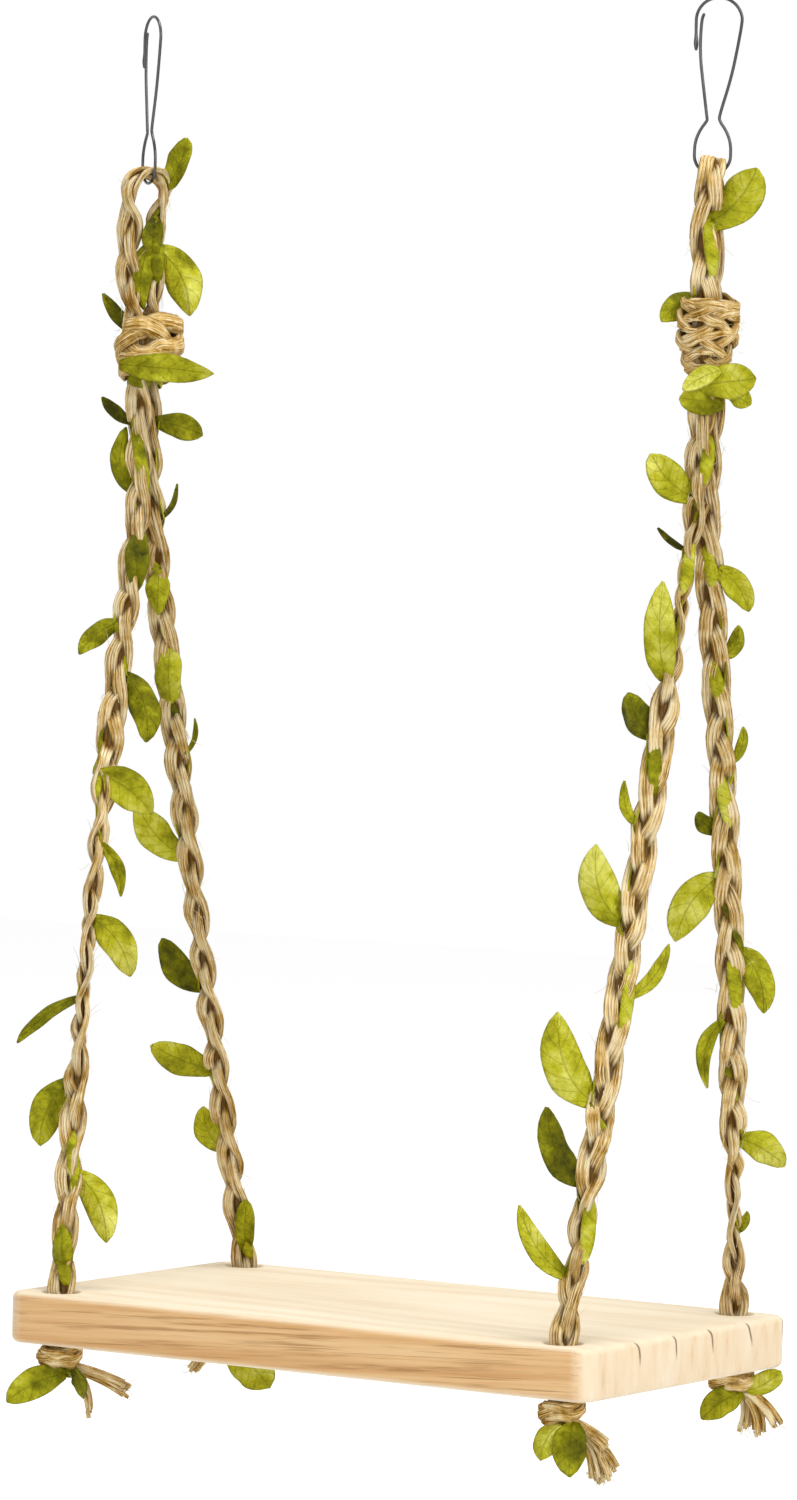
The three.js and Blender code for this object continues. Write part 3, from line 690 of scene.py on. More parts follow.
Knot = namedtuple("Knot", "leads bights radius weave half_high half_wide thin narrowing")
TOP_KNOTS = {
    "left": Knot(4, 3, 8.1, 1.2, 6.0, 2.7, 1.6, 0.08),
    "right": Knot(9, 4, 7.3, 0.9, 9.2, 1.45, 1.1, 0.26),
}
STOPPER = Knot(4, 3, 5.3, 0.8, 2.0, 1.35, 1.0, 0.05)
LOOSE_TURNS = {"left": 1, "right": 8}
STOPPER_LOOSE_TURNS = 1
TOP_KNOT_TILT = 8
STOPPER_TILT = 6
KNOT_TONE = -0.05
KNOT_BARREL = 0.1
KNOT_LUMP = 7
LUMP_REACH = Vector((1.0, 1.0, 1.9))
KNOT_ROUGH = 0.14
KNOT_RIDGES = 6
KNOT_RIDGE_DEPTH = 0.09
KNOT_STEP = 1.1
KNOT_SIDES = 18
FILLING_STEPS = 8
FILLING_REACH = 0.95
FILLING_SHADE = 0.8
LOOSE_SIDES = 12
LOOSE_STEPS = 44


def knot_radius(knot, height):
    """The middle radius of a knot at a height between -1 and 1: a barrel, narrower at its foot."""
    return knot.radius * (1 - KNOT_BARREL * height * height - knot.narrowing * max(-height, 0))


def strand_ways(spot, angle):
    """The wide and the thin way of a flat strand that goes round a knot along spot(angle)."""
    along = (spot(angle + 0.02) - spot(angle - 0.02)).normalized()
    wide = heading(math.degrees(angle)).cross(along).normalized()
    return wide, along.cross(wide)


def woven_ring(middle, tilt, knot, seed):
    """Rings of a closed strand that goes round and round, over and under itself."""
    turned = Matrix.Rotation(math.radians(tilt), 3, "X") @ Matrix.Rotation(math.radians(tilt), 3, "Y")

    def spot(angle):
        phase = knot.bights * angle / knot.leads
        height = math.cos(phase)
        radius = knot_radius(knot, height) + knot.weave * math.sin((knot.leads - 1) * phase)
        even = heading(math.degrees(angle)) * radius + UP * (knot.half_high * height)
        return even + noise.noise_vector(even / KNOT_LUMP + Vector((seed, 0, 0))) * LUMP_REACH

    def ring(share):
        angle = 2 * math.pi * knot.leads * share
        here = spot(angle)
        wide, thin = strand_ways(spot, angle)
        inner = Vector((here.x, here.y, 0)).length - knot.weave - 0.5 * knot.thin

        # Painted shade: darker towards the inside of the knot, where its turns cover each other
        def hollow(place):
            off = turned.transposed() @ (place - middle)
            proud = (math.hypot(off.x, off.y) - inner) / (2 * knot.weave + knot.thin)
            return 1 - smooth(proud)

        def ripple(turn):
            yarns = KNOT_RIDGE_DEPTH * math.cos(KNOT_RIDGES * turn)
            at = here / 1.6 + Vector((math.cos(turn), math.sin(turn), seed))
            return yarns + KNOT_ROUGH * noise.noise(at)

        wide = turned @ wide * knot.half_wide
        thin = turned @ thin * knot.thin
        return Ring(middle + turned @ here, wide, thin, ripple, hollow, KNOT_TONE)

    return ring


def filling_ring(middle, knot):
    """Rings of the rope inside a knot, seen in the gaps between the turns, and painted in shade."""

    def ring(share):
        height = lerp(-FILLING_REACH, FILLING_REACH, share)
        size = knot_radius(knot, height) - knot.weave - 0.2 * knot.thin
        spot = middle + UP * (knot.half_high * height)
        ripple = fibrous(spot, FILLING_SEED)
        return Ring(spot, heading(0) * size, heading(90) * size, ripple, lambda _: FILLING_SHADE)

    return ring


def loose_ring(middle, knot, draw):
    """Rings of one loose turn round a knot, leaning, over the woven turns."""
    share = draw.uniform(-0.75, 0.85)
    lean = draw.uniform(0.15, 0.4) * knot.half_high
    turned = draw.uniform(0, 2 * math.pi)
    size = draw.uniform(0.45, 0.7) * knot.half_wide
    seed = draw.uniform(0, 50)

    def spot(angle):
        out = heading(math.degrees(angle))
        shift = noise.noise(out * 1.6 + Vector((0, seed, 0)))
        rise = knot.half_high * share + lean * math.cos(angle + turned) + shift
        height = 2 * clamp(rise / knot.half_high / 2 + 0.5) - 1
        proud = 0.8 + 0.7 * noise.noise(out * 1.4 + Vector((seed, 0, 0)))
        reach = knot_radius(knot, height) + knot.weave * proud
        return middle + out * reach + UP * (knot.half_high * height)

    def ring(part):
        angle = 2 * math.pi * part
        here = spot(angle)
        wide, thin = strand_ways(spot, angle)
        return Ring(here, wide * size, thin * (0.8 * size), fibrous(here, seed), plain, KNOT_TONE)

    return ring


def knot_mesh(middle, tilt, knot, loose_turns, seed):
    bm = new_bmesh()
    draw = random.Random(round(100 * seed))
    girth = 2 * math.pi * knot.radius
    length = girth * knot.leads
    woven = woven_ring(middle, tilt, knot, seed)
    add_tube(bm, KNOT_SIDES, round(length / KNOT_STEP), woven, length, closed=True)
    add_tube(bm, KNOT_SIDES, FILLING_STEPS, filling_ring(middle, knot), 2 * knot.half_high)
    for _ in range(loose_turns):
        add_tube(bm, LOOSE_SIDES, LOOSE_STEPS, loose_ring(middle, knot, draw), girth, closed=True)
    return finish_mesh(bm)


# Yarns, hairs and frayed ends


def add_yarn(bm, start, middle, end, radius, sides, steps, taper, tone):
    """A round yarn along a simple bend."""
    _, first_way = bend_point(start, middle, end, 0)
    side = first_way.orthogonal().normalized()

    def ring(share):
        at, way = bend_point(start, middle, end, share)
        wide = square_to(side, way)
        size = radius * lerp(1, taper, share)
        return Ring(at, wide * size, way.cross(wide) * size, plain, plain, tone)

    add_tube(bm, sides, steps, ring, (end - start).length)


def random_way(draw):
    return Vector((draw.gauss(0, 1), draw.gauss(0, 1), draw.gauss(0, 1))).normalized()


def add_hair(bm, start, way, length, draw):
    """One stray hair of jute, paler than the yarns."""
    bend = start + way * length * 0.5
    end = start + (way + random_way(draw) * 0.6).normalized() * length
    add_yarn(bm, start, bend, end, HAIR_HALF, HAIR_SIDES, HAIR_STEPS, HAIR_TAPER, HAIR_TONE)


def add_rope_hairs(bm, route, start, end, count, draw):
    """Hairs on a rope between two lengths along it: two of three lie along it, the rest stand off."""
    for i in range(count):
        place = route.at(draw.uniform(start, end))
        angle = draw.uniform(0, 2 * math.pi)
        wide = place.wide * math.cos(angle)
        flat = place.flat * math.sin(angle)
        along = place.along * draw.choice((-1, 1))
        lies = i % 3 > 0
        depth = 0.1 if lies else 0.5
        base = place.middle + wide * (place.half_wide - depth) + flat * (place.half_thick - depth)
        round_way = place.flat * math.cos(angle) - place.wide * math.sin(angle)
        stand = draw.uniform(0.0, 0.12) if lies else draw.uniform(0.2, 0.6)
        way = along + (wide + flat) * stand + round_way * draw.uniform(-0.4, 0.4)
        add_hair(bm, base, way.normalized(), draw.uniform(3, 7), draw)


def add_tail(bm, corner, tail, draw):
    """A loose end of rope: a bundle of yarns that spreads towards its cut."""
    turn, rise, length, yarns, splay = tail
    root = hole_at(corner, STUB_END + 0.5) + heading(turn) * (STUB_RADIUS / 2)
    way = direction(turn, rise)
    across = heading(turn + 90)
    upright = direction(turn, rise + 90)
    for i in range(yarns):
        reach = math.sqrt((i + 0.5) / yarns)
        angle = 2.4 * i
        off = across * math.cos(angle) * reach + upright * math.sin(angle) * reach
        far = length * draw.uniform(0.86, 1.04)
        bend = root + direction(turn, rise / 2) * (far / 2) + off * 1.5
        end = root + way * far + off * splay
        start = root + off * 1.2
        radius = draw.uniform(0.7, 0.95)
        tone = draw.uniform(-0.15, 0.25)
        add_yarn(bm, start, bend, end, radius, FRAY_SIDES, FRAY_STEPS, FRAY_TAPER, tone)
        for _ in range(FRAY_HAIRS):
            hair_way = (way + random_way(draw) * 0.5).normalized()
            add_hair(bm, end - way * 2, hair_way, draw.uniform(3, 6), draw)


def rope_end_mesh(corner, draw):
    """The rope through the hole, and its loose tails below."""
    bm = new_bmesh()
    heights = [lerp(STUB_TOP, STUB_END - 1, i / STUB_STEPS) for i in range(STUB_STEPS + 1)]
    stub = Route([(hole_at(corner, height), heading(STUB_TURN), STUB_RADIUS) for height in heights])
    add_plait(bm, stub, STUB_SEED)
    for tail in TAILS[corner]:
        add_tail(bm, corner, tail, draw)
    return finish_mesh(bm)


# Leaves and ribbon


def leaf_half(share, width, blunt):
    """Half the width of a leaf: narrower at its base, widest past the middle, a rounded end."""
    along = lerp(0.1, 1, share) ** lerp(1.0, 1.3, blunt)
    return max(width / 2 * math.sin(math.pi * along) ** lerp(0.8, 0.5, blunt), 0.25)


def add_leaf(bm, base, turn, rise, length, width, roll, tone, draw):
    """One cloth leaf: a grid laid along a bent midrib, cut to its outline, folded and crumpled."""
    tone_layer = bm.verts.layers.float["tone"]
    middle = base + direction(turn, rise / 2) * (length / 2)
    tip = base + direction(turn, rise) * length
    fold = math.radians(draw.uniform(6, 24)) * draw.choice((-1, 1))
    curl = draw.uniform(-0.12, 0.12) * length
    wave = draw.uniform(0.03, 0.08) * width
    blunt = draw.uniform(0.35, 1.0)
    seed = draw.uniform(0, 50)
    for vert in add_grid(bm, LEAF_ACROSS, LEAF_ALONG):
        across = vert.co.x
        share = (vert.co.y + 1) / 2
        rib, along = bend_point(base, middle, tip, share)
        wide = square_to(Matrix.Rotation(-math.radians(roll), 3, along) @ heading(turn + 90), along)
        half = leaf_half(share, width, blunt)
        side = across * half * (1 + LEAF_RAGGED * noise.noise(Vector((share * 3, seed, across))))
        lift = abs(side) * math.sin(fold) + curl * share * share
        lift += wave * across * math.sin(7 * share + 3 * tone)
        lift += LEAF_CRUMPLE * noise.noise(Vector((side / 2.5, share * length / 3.5, seed)))
        vert.co = rib + wide * (side * math.cos(fold)) + along.cross(wide) * lift
        vert[tone_layer] = tone


def on_rope(spot, turn, lift, half_thick=ROPE_THICK / 2):
    """The point of a rope's surface at a heading, lifted off it, and the way out there."""
    middle, wide, half_wide = spot
    angle = math.radians(turn) - math.atan2(wide.y, wide.x)
    flat = UP.cross(wide).normalized()
    surface = middle + wide * (half_wide * math.cos(angle)) + flat * (half_thick * math.sin(angle))
    out = (wide * (math.cos(angle) / half_wide) + flat * (math.sin(angle) / half_thick)).normalized()
    return surface + out * lift, out


def add_band(bm, spot, half, steps, tone):
    """A stretch of ribbon whose spot(share) gives its place and way out, and half(share) its width."""
    tone_layer = bm.verts.layers.float["tone"]
    for vert in add_grid(bm, BAND_ACROSS, steps, lambda u, v: (lerp(*BAND_UV, u), v)):
        share = (vert.co.y + 1) / 2
        across = vert.co.x
        middle, out = spot(share)
        along = (spot(share + 0.02)[0] - spot(share - 0.02)[0]).normalized()
        wide = out.cross(along).normalized()
        bulge = 0.2 * half(share) * (1 - across * across)
        vert.co = middle + wide * (across * half(share)) + out * bulge
        vert[tone_layer] = tone


def add_strip(bm, stem, strip, half_thick=ROPE_THICK / 2):
    """A stretch of ribbon in the plait, its ends drawn in under the strands."""
    high, high_turn, low, low_turn, tone = strip

    def spot(share):
        lift = lerp(STRIP_SUNK, STRIP_LIFT, math.sin(math.pi * clamp(share)) ** 0.5)
        return on_rope(stem(lerp(high, low, share)), lerp(high_turn, low_turn, share), lift, half_thick)

    def half(share):
        return max(STRIP_WIDTH / 2 * math.sin(math.pi * share) ** 0.4, 0.4)

    add_band(bm, spot, half, STRIP_STEPS, tone)


def add_wound_ribbon(bm, stem, leaves, draw):
    """The ribbon wound round the rope from leaf to leaf: up at each leaf, sunk in the plait between."""
    turns = []
    for _, turn, *_ in leaves:
        while turns and turn < turns[-1] - WIND_LEAD:
            turn += 360
        turns.append(turn)
    heights = [leaf[0] for leaf in leaves]
    for first in range(len(leaves) - 1):

        def spot(share, first=first):
            up = abs(math.cos(math.pi * share)) ** 8
            height = lerp(heights[first], heights[first + 1], share)
            turn = lerp(turns[first], turns[first + 1], share)
            return on_rope(stem(height), turn, lerp(STRIP_SUNK, WOUND_LIFT, up))

        def half(share):
            return STRIP_WIDTH * lerp(0.16, 0.3, abs(math.cos(math.pi * share)))

        steps = 6 + round((turns[first + 1] - turns[first]) / 22)
        add_band(bm, spot, half, steps, draw.uniform(0.2, 0.6))


def cloth_mesh(bm):
    """Leaves and ribbon given the thickness of the cloth."""
    bmesh.ops.recalc_face_normals(bm, faces=bm.faces)
    bmesh.ops.solidify(bm, geom=bm.faces[:], thickness=LEAF_THICK)
    return finish_mesh(bm)


def leaves_on(stem, leaves, strips, draw):
    """Leaves and bare ribbon along a rope, whose stem(height) gives its middle and sizes."""
    bm = new_bmesh()
    for height, turn, *leaf in leaves:
        base, _ = on_rope(stem(height), turn, LEAF_SUNK)
        add_leaf(bm, base, *leaf, draw)
    add_wound_ribbon(bm, stem, leaves, draw)
    for strip in strips:
        add_strip(bm, stem, strip)
    return cloth_mesh(bm)


def collar_mesh(middle, radius, leaves, draw):
    """Leaves that come out below a knot, and the ribbon that holds them, wound round the rope."""
    bm = new_bmesh()
    for drop, off, base_turn, *leaf in leaves:
        base = middle + heading(base_turn) * (radius + off) - UP * drop
        add_leaf(bm, base, *leaf, draw)

    def stem(height):
        return Vector((middle.x, middle.y, height)), heading(0), radius

    for turn in COLLAR_TURNS:
        strip = (middle.z + COLLAR_RISE, turn, middle.z - COLLAR_DROP, turn + COLLAR_SWEEP, COLLAR_TONE)
        add_strip(bm, stem, strip, radius)
    return cloth_mesh(bm)


# Wire hooks


def arc(centre, radius, start, end):
    angles = [math.radians(lerp(start, end, i / ARC_STEPS)) for i in range(ARC_STEPS + 1)]
    return [(centre[0] + radius * math.cos(a), centre[1] + radius * math.sin(a)) for a in angles]


def eased(points):
    """Cuts the corners of a line of points again and again, its two ends kept."""
    for _ in range(EASE_ROUNDS):
        cut = [points[0]]
        for first, second in zip(points, points[1:]):
            cut += [first.lerp(second, 0.25), first.lerp(second, 0.75)]
        points = cut + [points[-1]]
    return points


def wire_mesh(side, route, swell):
    """Round wire along a flat route; its first end may be swollen by swell(distance from that end)."""
    flat_way = heading(side * HOOK_TURN)
    normal = heading(side * HOOK_TURN + 90)
    points = eased([hook_at(side, HOOK_HEIGHT + up) + flat_way * across for across, up in route])
    lengths = running_lengths(points)
    last = len(points) - 1

    def ring(share):
        i = round(share * last)
        from_end = min(lengths[i], lengths[-1] - lengths[i])
        size = WIRE / 2 * (1 + swell(lengths[i])) * math.sqrt(clamp(0.25 + from_end / 0.6))
        return Ring(points[i], normal * size, way_at(points, i).cross(normal) * size, plain, plain)

    bm = new_bmesh()
    add_tube(bm, WIRE_SIDES, last, ring, lengths[-1])
    return finish_mesh(bm)


def hook_route():
    """From the tail over the crown, down the arm to the waist, round the loop and up to the gate."""
    crown = (CROWN_SHIFT, HOOK_REACH - CROWN_RADIUS)
    arm = (lerp(WAIST_HALF, CROWN_SHIFT + CROWN_RADIUS, 0.5), lerp(WAIST_HEIGHT, crown[1], 0.4))
    return [
        (CROWN_SHIFT - CROWN_RADIUS + TAIL_TOE, HOOK_REACH - TAIL_DROP),
        *arc(crown, CROWN_RADIUS, 180, 0),
        (lerp(arm[0], CROWN_SHIFT + CROWN_RADIUS, 0.55), lerp(arm[1], crown[1], 0.5)),
        arm,
        (WAIST_HALF, WAIST_HEIGHT + 1),
        *SHOULDER,
        *arc((0, LOOP_RADIUS), LOOP_RADIUS, 0, -180),
        *[(-across, up) for across, up in reversed(SHOULDER)],
        (-WAIST_HALF, WAIST_HEIGHT),
    ]


def gate_route():
    """From the waist up to the inside of the tail, its end curled in."""
    stop = CROWN_SHIFT - CROWN_RADIUS + WIRE + GATE_GAP
    tail_end = HOOK_REACH - TAIL_DROP
    crown_height = HOOK_REACH - CROWN_RADIUS
    return [
        (-WAIST_HALF, WAIST_HEIGHT - 0.5),
        (lerp(-WAIST_HALF, stop, 0.55), lerp(WAIST_HEIGHT, tail_end, 0.5)),
        (stop, tail_end - WIRE),
        (stop + TAIL_TOE, crown_height),
        (stop + GATE_CURL / 2, crown_height + GATE_CURL),
    ]


def tail_swell(distance):
    """The hook's tail ends in a small pressed blob."""
    return TAIL_SWELL * smooth(1 - abs(distance - TAIL_SWELL_AT) / TAIL_SWELL_HALF)


# Board


def ease_edges(bm, edges, offset, segments):
    bmesh.ops.bevel(
        bm, geom=edges, offset=offset, segments=segments, profile=0.5, affect="EDGES", material=-1
    )


def slab_mesh():
    bm = bmesh.new()
    size = Matrix.Diagonal((BOARD_LENGTH, BOARD_DEPTH, BOARD_THICK, 1))
    bmesh.ops.create_cube(bm, size=1, matrix=Matrix.Translation((0, 0, -BOARD_THICK / 2)) @ size)
    upright = [edge for edge in bm.edges if abs(edge.verts[0].co.z - edge.verts[1].co.z) > 1]
    ease_edges(bm, upright, BOARD_CORNER, CORNER_STEPS)
    rims = [edge for edge in bm.edges if abs(edge.verts[0].co.z - edge.verts[1].co.z) < 1e-4]
    ease_edges(bm, rims, BOARD_EASE, EASE_STEPS)
    return finish_mesh(bm)


def plugs_mesh():
    """One plug per hole, spun from a profile that flares a little at both faces of the board."""
    bm = bmesh.new()
    bore = HOLE_BORE / 2
    upper = [(bore, -2), (bore + 0.15, -1), (bore + 0.6, -0.3), (bore + 1.6, 0.5)]
    lower = [(radius, -BOARD_THICK - height) for radius, height in reversed(upper)]
    profile = [(0, -BOARD_THICK - 0.5), *lower, *upper, (0, 0.5)]
    for corner in CORNERS:
        at = hole_at(corner, 0)
        line = [bm.verts.new(at + Vector((radius, 0, height))) for radius, height in profile]
        edges = [bm.edges.new(pair) for pair in zip(line, line[1:])]
        bmesh.ops.spin(
            bm, geom=line + edges, cent=at, axis=UP, angle=2 * math.pi, steps=HOLE_SIDES, use_merge=True
        )
    bmesh.ops.remove_doubles(bm, verts=bm.verts, dist=1e-4)
    return finish_mesh(bm)


def board_mesh():
    """The slab with its holes cut."""
    slab = bpy.data.objects.new("slab", slab_mesh())
    plugs = bpy.data.objects.new("plugs", plugs_mesh())
    for helper in (slab, plugs):
        bpy.context.scene.collection.objects.link(helper)
    cut = slab.modifiers.new("holes", "BOOLEAN")
    cut.operation = "DIFFERENCE"
    cut.solver = "EXACT"
    cut.object = plugs
    depsgraph = bpy.context.evaluated_depsgraph_get()
    mesh = bpy.data.meshes.new_from_object(slab.evaluated_get(depsgraph))
    for helper in (slab, plugs):
        bpy.data.objects.remove(helper)
    mesh.materials.clear()
    mesh.shade_smooth()
    mesh.set_sharp_from_angle(angle=math.radians(SHARP_FROM))
    return mesh


# Materials


class Paint:
    """A node tree, with short names for the nodes that paint a surface."""

    def __init__(self, tree):
        self.tree = tree

    def feed(self, socket, value):
        """Links a socket to another node's output, or sets its value; a colour is opaque."""
        if isinstance(value, bpy.types.NodeSocket):
            self.tree.links.new(value, socket)
        elif socket.type == "RGBA":
            socket.default_value = (*value, 1)
        else:
            socket.default_value = value

    def put(self, kind, inputs=None, **settings):
        """A node with its settings, its inputs given as values or as outputs to link."""
        node = self.tree.nodes.new(kind)
        for key, value in settings.items():
            setattr(node, key, value)
        for key, value in (inputs or {}).items():
            self.feed(node.inputs[key], value)
        return node

    def maths(self, operation, first, second=0.0):
        return self.put("ShaderNodeMath", {0: first, 1: second}, operation=operation).outputs[0]

    def weighed(self, *shares):
        """The sum of masks, each with its weight."""
        parts = [self.maths("MULTIPLY", mask, weight) for mask, weight in shares]
        total = parts[0]
        for part in parts[1:]:
            total = self.maths("ADD", total, part)
        return total

    def off_whole(self, row):
        """How far a number is from the nearest whole one."""
        return self.maths("ABSOLUTE", self.maths("SUBTRACT", row, self.maths("ROUND", row)))

    def spread(self, value, low, high, new_low=0.0, new_high=1.0):
        """A value taken from one range to another, and held at its ends."""
        inputs = {"Value": value, "From Min": low, "From Max": high, "To Min": new_low, "To Max": new_high}
        return self.put("ShaderNodeMapRange", inputs).outputs["Result"]

    def ramp(self, value, stops):
        """Colours along a value, each stop a place and its colour."""
        node = self.put("ShaderNodeValToRGB", {"Fac": value})
        elements = node.color_ramp.elements
        while len(elements) < len(stops):
            elements.new(1.0)
        for element, (place, colour) in zip(elements, stops):
            element.position = place
            element.color = (*colour, 1)
        return node.outputs["Color"]

    def mix(self, share, first, second):
        """Two colours mixed; the numbers are the node's colour sockets."""
        return self.put("ShaderNodeMix", {0: share, 6: first, 7: second}, data_type="RGBA").outputs[2]

    def scaled(self, vector, scale, place=(0, 0, 0)):
        inputs = {"Vector": vector, "Scale": scale, "Location": place}
        return self.put("ShaderNodeMapping", inputs).outputs["Vector"]

    def streaks(self, vector, scale, place=(0, 0, 0)):
        """A mask of streaks, as fine and as long as the scale makes them."""
        inputs = {"Vector": self.scaled(vector, scale, place)}
        return self.put("ShaderNodeGroup", inputs, node_tree=STREAKS).outputs["Mask"]


class Finish(Paint):
    """A material in the making."""

    def __init__(self, name):
        self.material = bpy.data.materials.new(name)
        self.material.use_nodes = True
        super().__init__(self.material.node_tree)

    def spot(self):
        return self.put("ShaderNodeTexCoord").outputs["Object"]

    def uv(self):
        return self.put("ShaderNodeUVMap", uv_map="UVMap").outputs["UV"]

    def own(self, name):
        """A value that the mesh itself carries."""
        return self.put("ShaderNodeAttribute", attribute_name=name).outputs["Fac"]

    def parts(self, vector):
        return self.put("ShaderNodeSeparateXYZ", {"Vector": vector}).outputs

    def bump(self, height, depth, strength):
        inputs = {"Height": height, "Distance": depth, "Strength": strength}
        return self.put("ShaderNodeBump", inputs).outputs["Normal"]

    def done(self, inputs):
        """The material, once its shader is fed."""
        shader = self.tree.nodes["Principled BSDF"]
        for name, value in inputs.items():
            self.feed(shader.inputs[name], value)
        return self.material


def make_streaks():
    """Shared effect: uneven streaks. The vector's scale sets how long and how fine they are."""
    tree = bpy.data.node_groups.new("streaks", "ShaderNodeTree")
    tree.interface.new_socket("Vector", in_out="INPUT", socket_type="NodeSocketVector")
    tree.interface.new_socket("Mask", in_out="OUTPUT", socket_type="NodeSocketFloat")
    paint = Paint(tree)
    vector = paint.put("NodeGroupInput").outputs["Vector"]
    kind = {"Vector": vector, "Scale": 1.0, "Detail": 4.0, "Roughness": 0.6}
    grain = paint.put("ShaderNodeTexNoise", kind).outputs["Fac"]
    paint.put("NodeGroupOutput", {"Mask": paint.spread(grain, 0.3, 0.7)})
    return tree


STREAKS = make_streaks()

# Jute: straw from dark to pale, and the painted shade deep in the plait
STRAW = [(0.22, (0.24, 0.105, 0.003)), (0.48, (0.72, 0.46, 0.135)), (0.72, (1.0, 0.84, 0.52))]
JUTE_SHADE = (0.1, 0.038, 0.002)


def jute_material():
    jute = Finish("plaited jute")
    fibre = jute.streaks(jute.uv(), (2.8, 0.16, 1))
    patch = jute.streaks(jute.spot(), (260, 260, 120))
    tone = jute.maths("ADD", jute.weighed((fibre, 0.75), (patch, 0.3)), jute.own("tone"))
    # Painted shade deep in the plait, between yarns and inside knots
    shade = jute.maths("MULTIPLY", jute.own("hollow"), 0.95)
    return jute.done(
        {
            "Base Color": jute.mix(shade, jute.ramp(tone, STRAW), JUTE_SHADE),
            "Roughness": jute.spread(fibre, 0, 1, 0.95, 0.75),
            "Specular IOR Level": 0.03,
            "Normal": jute.bump(fibre, 0.0003, 0.9),
        }
    )


# Leaf cloth: greens from dark to light, the painted shade at the rim, the midrib and veins
GREENS = [
    (0.26, (0.04, 0.039, 0.0005)),
    (0.46, (0.19, 0.185, 0.001)),
    (0.66, (0.46, 0.445, 0.015)),
    (0.9, (0.76, 0.74, 0.16)),
]
LEAF_RIM_SHADE = (0.12, 0.115, 0.002)
LEAF_RIB = (0.11, 0.11, 0.002)
VEIN_ROWS = 6
VEIN_SLOPE = 2.5


def leaf_material():
    leaf = Finish("leaf cloth")
    spot = leaf.spot()
    across, along, _ = leaf.parts(leaf.uv())
    from_rib = leaf.maths("ABSOLUTE", leaf.maths("SUBTRACT", across, 0.5))
    grain = leaf.streaks(spot, (900, 900, 900))
    crease = leaf.streaks(spot, (300, 300, 300))
    patch = leaf.streaks(spot, (110, 110, 110))
    shares = [(leaf.own("tone"), 0.55), (patch, 0.35), (along, 0.12), (crease, 0.12), (grain, 0.05)]
    green = leaf.ramp(leaf.weighed(*shares), GREENS)
    # Painted shade: each leaf darker along its rim
    green = leaf.mix(leaf.spread(from_rib, 0.45, 0.5, 0.0, 0.4), green, LEAF_RIM_SHADE)
    slope = leaf.maths("MULTIPLY", from_rib, VEIN_SLOPE)
    row = leaf.maths("SUBTRACT", leaf.maths("MULTIPLY", along, VEIN_ROWS), slope)
    vein = leaf.spread(leaf.off_whole(row), 0.0, 0.09, 0.3, 0.0)
    rib = leaf.maths("MAXIMUM", leaf.spread(from_rib, 0.0, 0.04, 0.45, 0.0), vein)
    height = leaf.weighed((grain, 0.15), (crease, 1.0), (rib, -0.6))
    return leaf.done(
        {
            "Base Color": leaf.mix(rib, green, LEAF_RIB),
            "Roughness": leaf.spread(grain, 0, 1, 0.6, 0.42),
            "Specular IOR Level": 0.1,
            "Normal": leaf.bump(height, 0.0007, 0.9),
        }
    )


# Steel wire: its greys far darker than bare steel, a painted reflection of dark surroundings
GREYS = [(0.1, (0.05, 0.05, 0.053)), (0.9, (0.11, 0.11, 0.114))]


def steel_material():
    steel = Finish("drawn steel wire")
    draw_lines = steel.streaks(steel.uv(), (3, 0.1, 1))
    return steel.done(
        {
            # Painted reflection: a base colour darker than bare steel
            "Base Color": steel.ramp(draw_lines, GREYS),
            "Roughness": steel.spread(draw_lines, 0, 1, 0.25, 0.32),
            "Metallic": 1.0,
        }
    )


# Softwood: the grain on the edges, faces and ends, the marks in it; places in metres. The faces are paler
# than the edges, in part painted light for the brightly lit top
EDGE_GRAIN = [(0.15, (0.66, 0.36, 0.14)), (0.5, (0.80, 0.50, 0.235)), (0.85, (0.89, 0.63, 0.34))]
FACE_GRAIN_AND_LIGHT = [(0.15, (0.80, 0.64, 0.44)), (0.5, (0.87, 0.74, 0.54)), (0.85, (0.91, 0.81, 0.63))]
END_GRAIN = [(0.05, (0.76, 0.54, 0.32)), (0.3, (0.86, 0.67, 0.44)), (0.9, (0.91, 0.77, 0.57))]
FLECK = (0.42, 0.21, 0.075)
CRACK = (0.16, 0.075, 0.025)
CRACK_SPACING = 0.0205
CRACK_LENGTH = 0.0075
CRACK_AT = -0.0285
CRACK_FIRST = -0.041
CRACK_BOW = 0.0016
CRACK_SWAY = 0.0015
CRACK_FADE = 0.003
CRACK_HALF = (0.012, 0.034)
GRAIN_SLANT = 2.7
RING_MIDDLE = (0, -0.012, 0.44)
BOARD_TOP = -HANG_HEIGHT / 1000
BOARD_END = BOARD_LENGTH / 2000
EDGE_BLEND = (0.0002, 0.0016)
END_BLEND = (BOARD_END - 0.006, BOARD_END - 0.0015)
CRACK_BLEND = (BOARD_END - 0.0012, BOARD_END - 0.0004)


def end_cracks(wood, spot, x, y, z):
    """Short curved checks in the end grain, evenly spaced, near the upper edge of the right end."""
    wobble = wood.put("ShaderNodeTexNoise", {"Vector": spot, "Scale": 70.0, "Detail": 1.0}).outputs["Fac"]
    sway = wood.spread(wobble, 0.3, 0.7, -CRACK_SWAY, CRACK_SWAY)
    high = wood.maths("SUBTRACT", z, BOARD_TOP - CRACK_LENGTH)
    share = wood.maths("DIVIDE", high, CRACK_LENGTH)
    bow = wood.maths("MULTIPLY", wood.maths("MULTIPLY", share, share), CRACK_BOW)
    across = wood.maths("ADD", wood.maths("ADD", y, sway), bow)
    row = wood.maths("DIVIDE", wood.maths("SUBTRACT", across, CRACK_AT), CRACK_SPACING)
    line = wood.spread(wood.off_whole(row), *CRACK_HALF, 1.0, 0.0)
    upper = wood.spread(high, 0.0, CRACK_FADE)
    past_corner = wood.spread(y, CRACK_FIRST, CRACK_FIRST + CRACK_FADE)
    on_end = wood.spread(x, *CRACK_BLEND)
    where = wood.maths("MULTIPLY", on_end, past_corner)
    return wood.maths("MULTIPLY", wood.maths("MULTIPLY", line, upper), where)


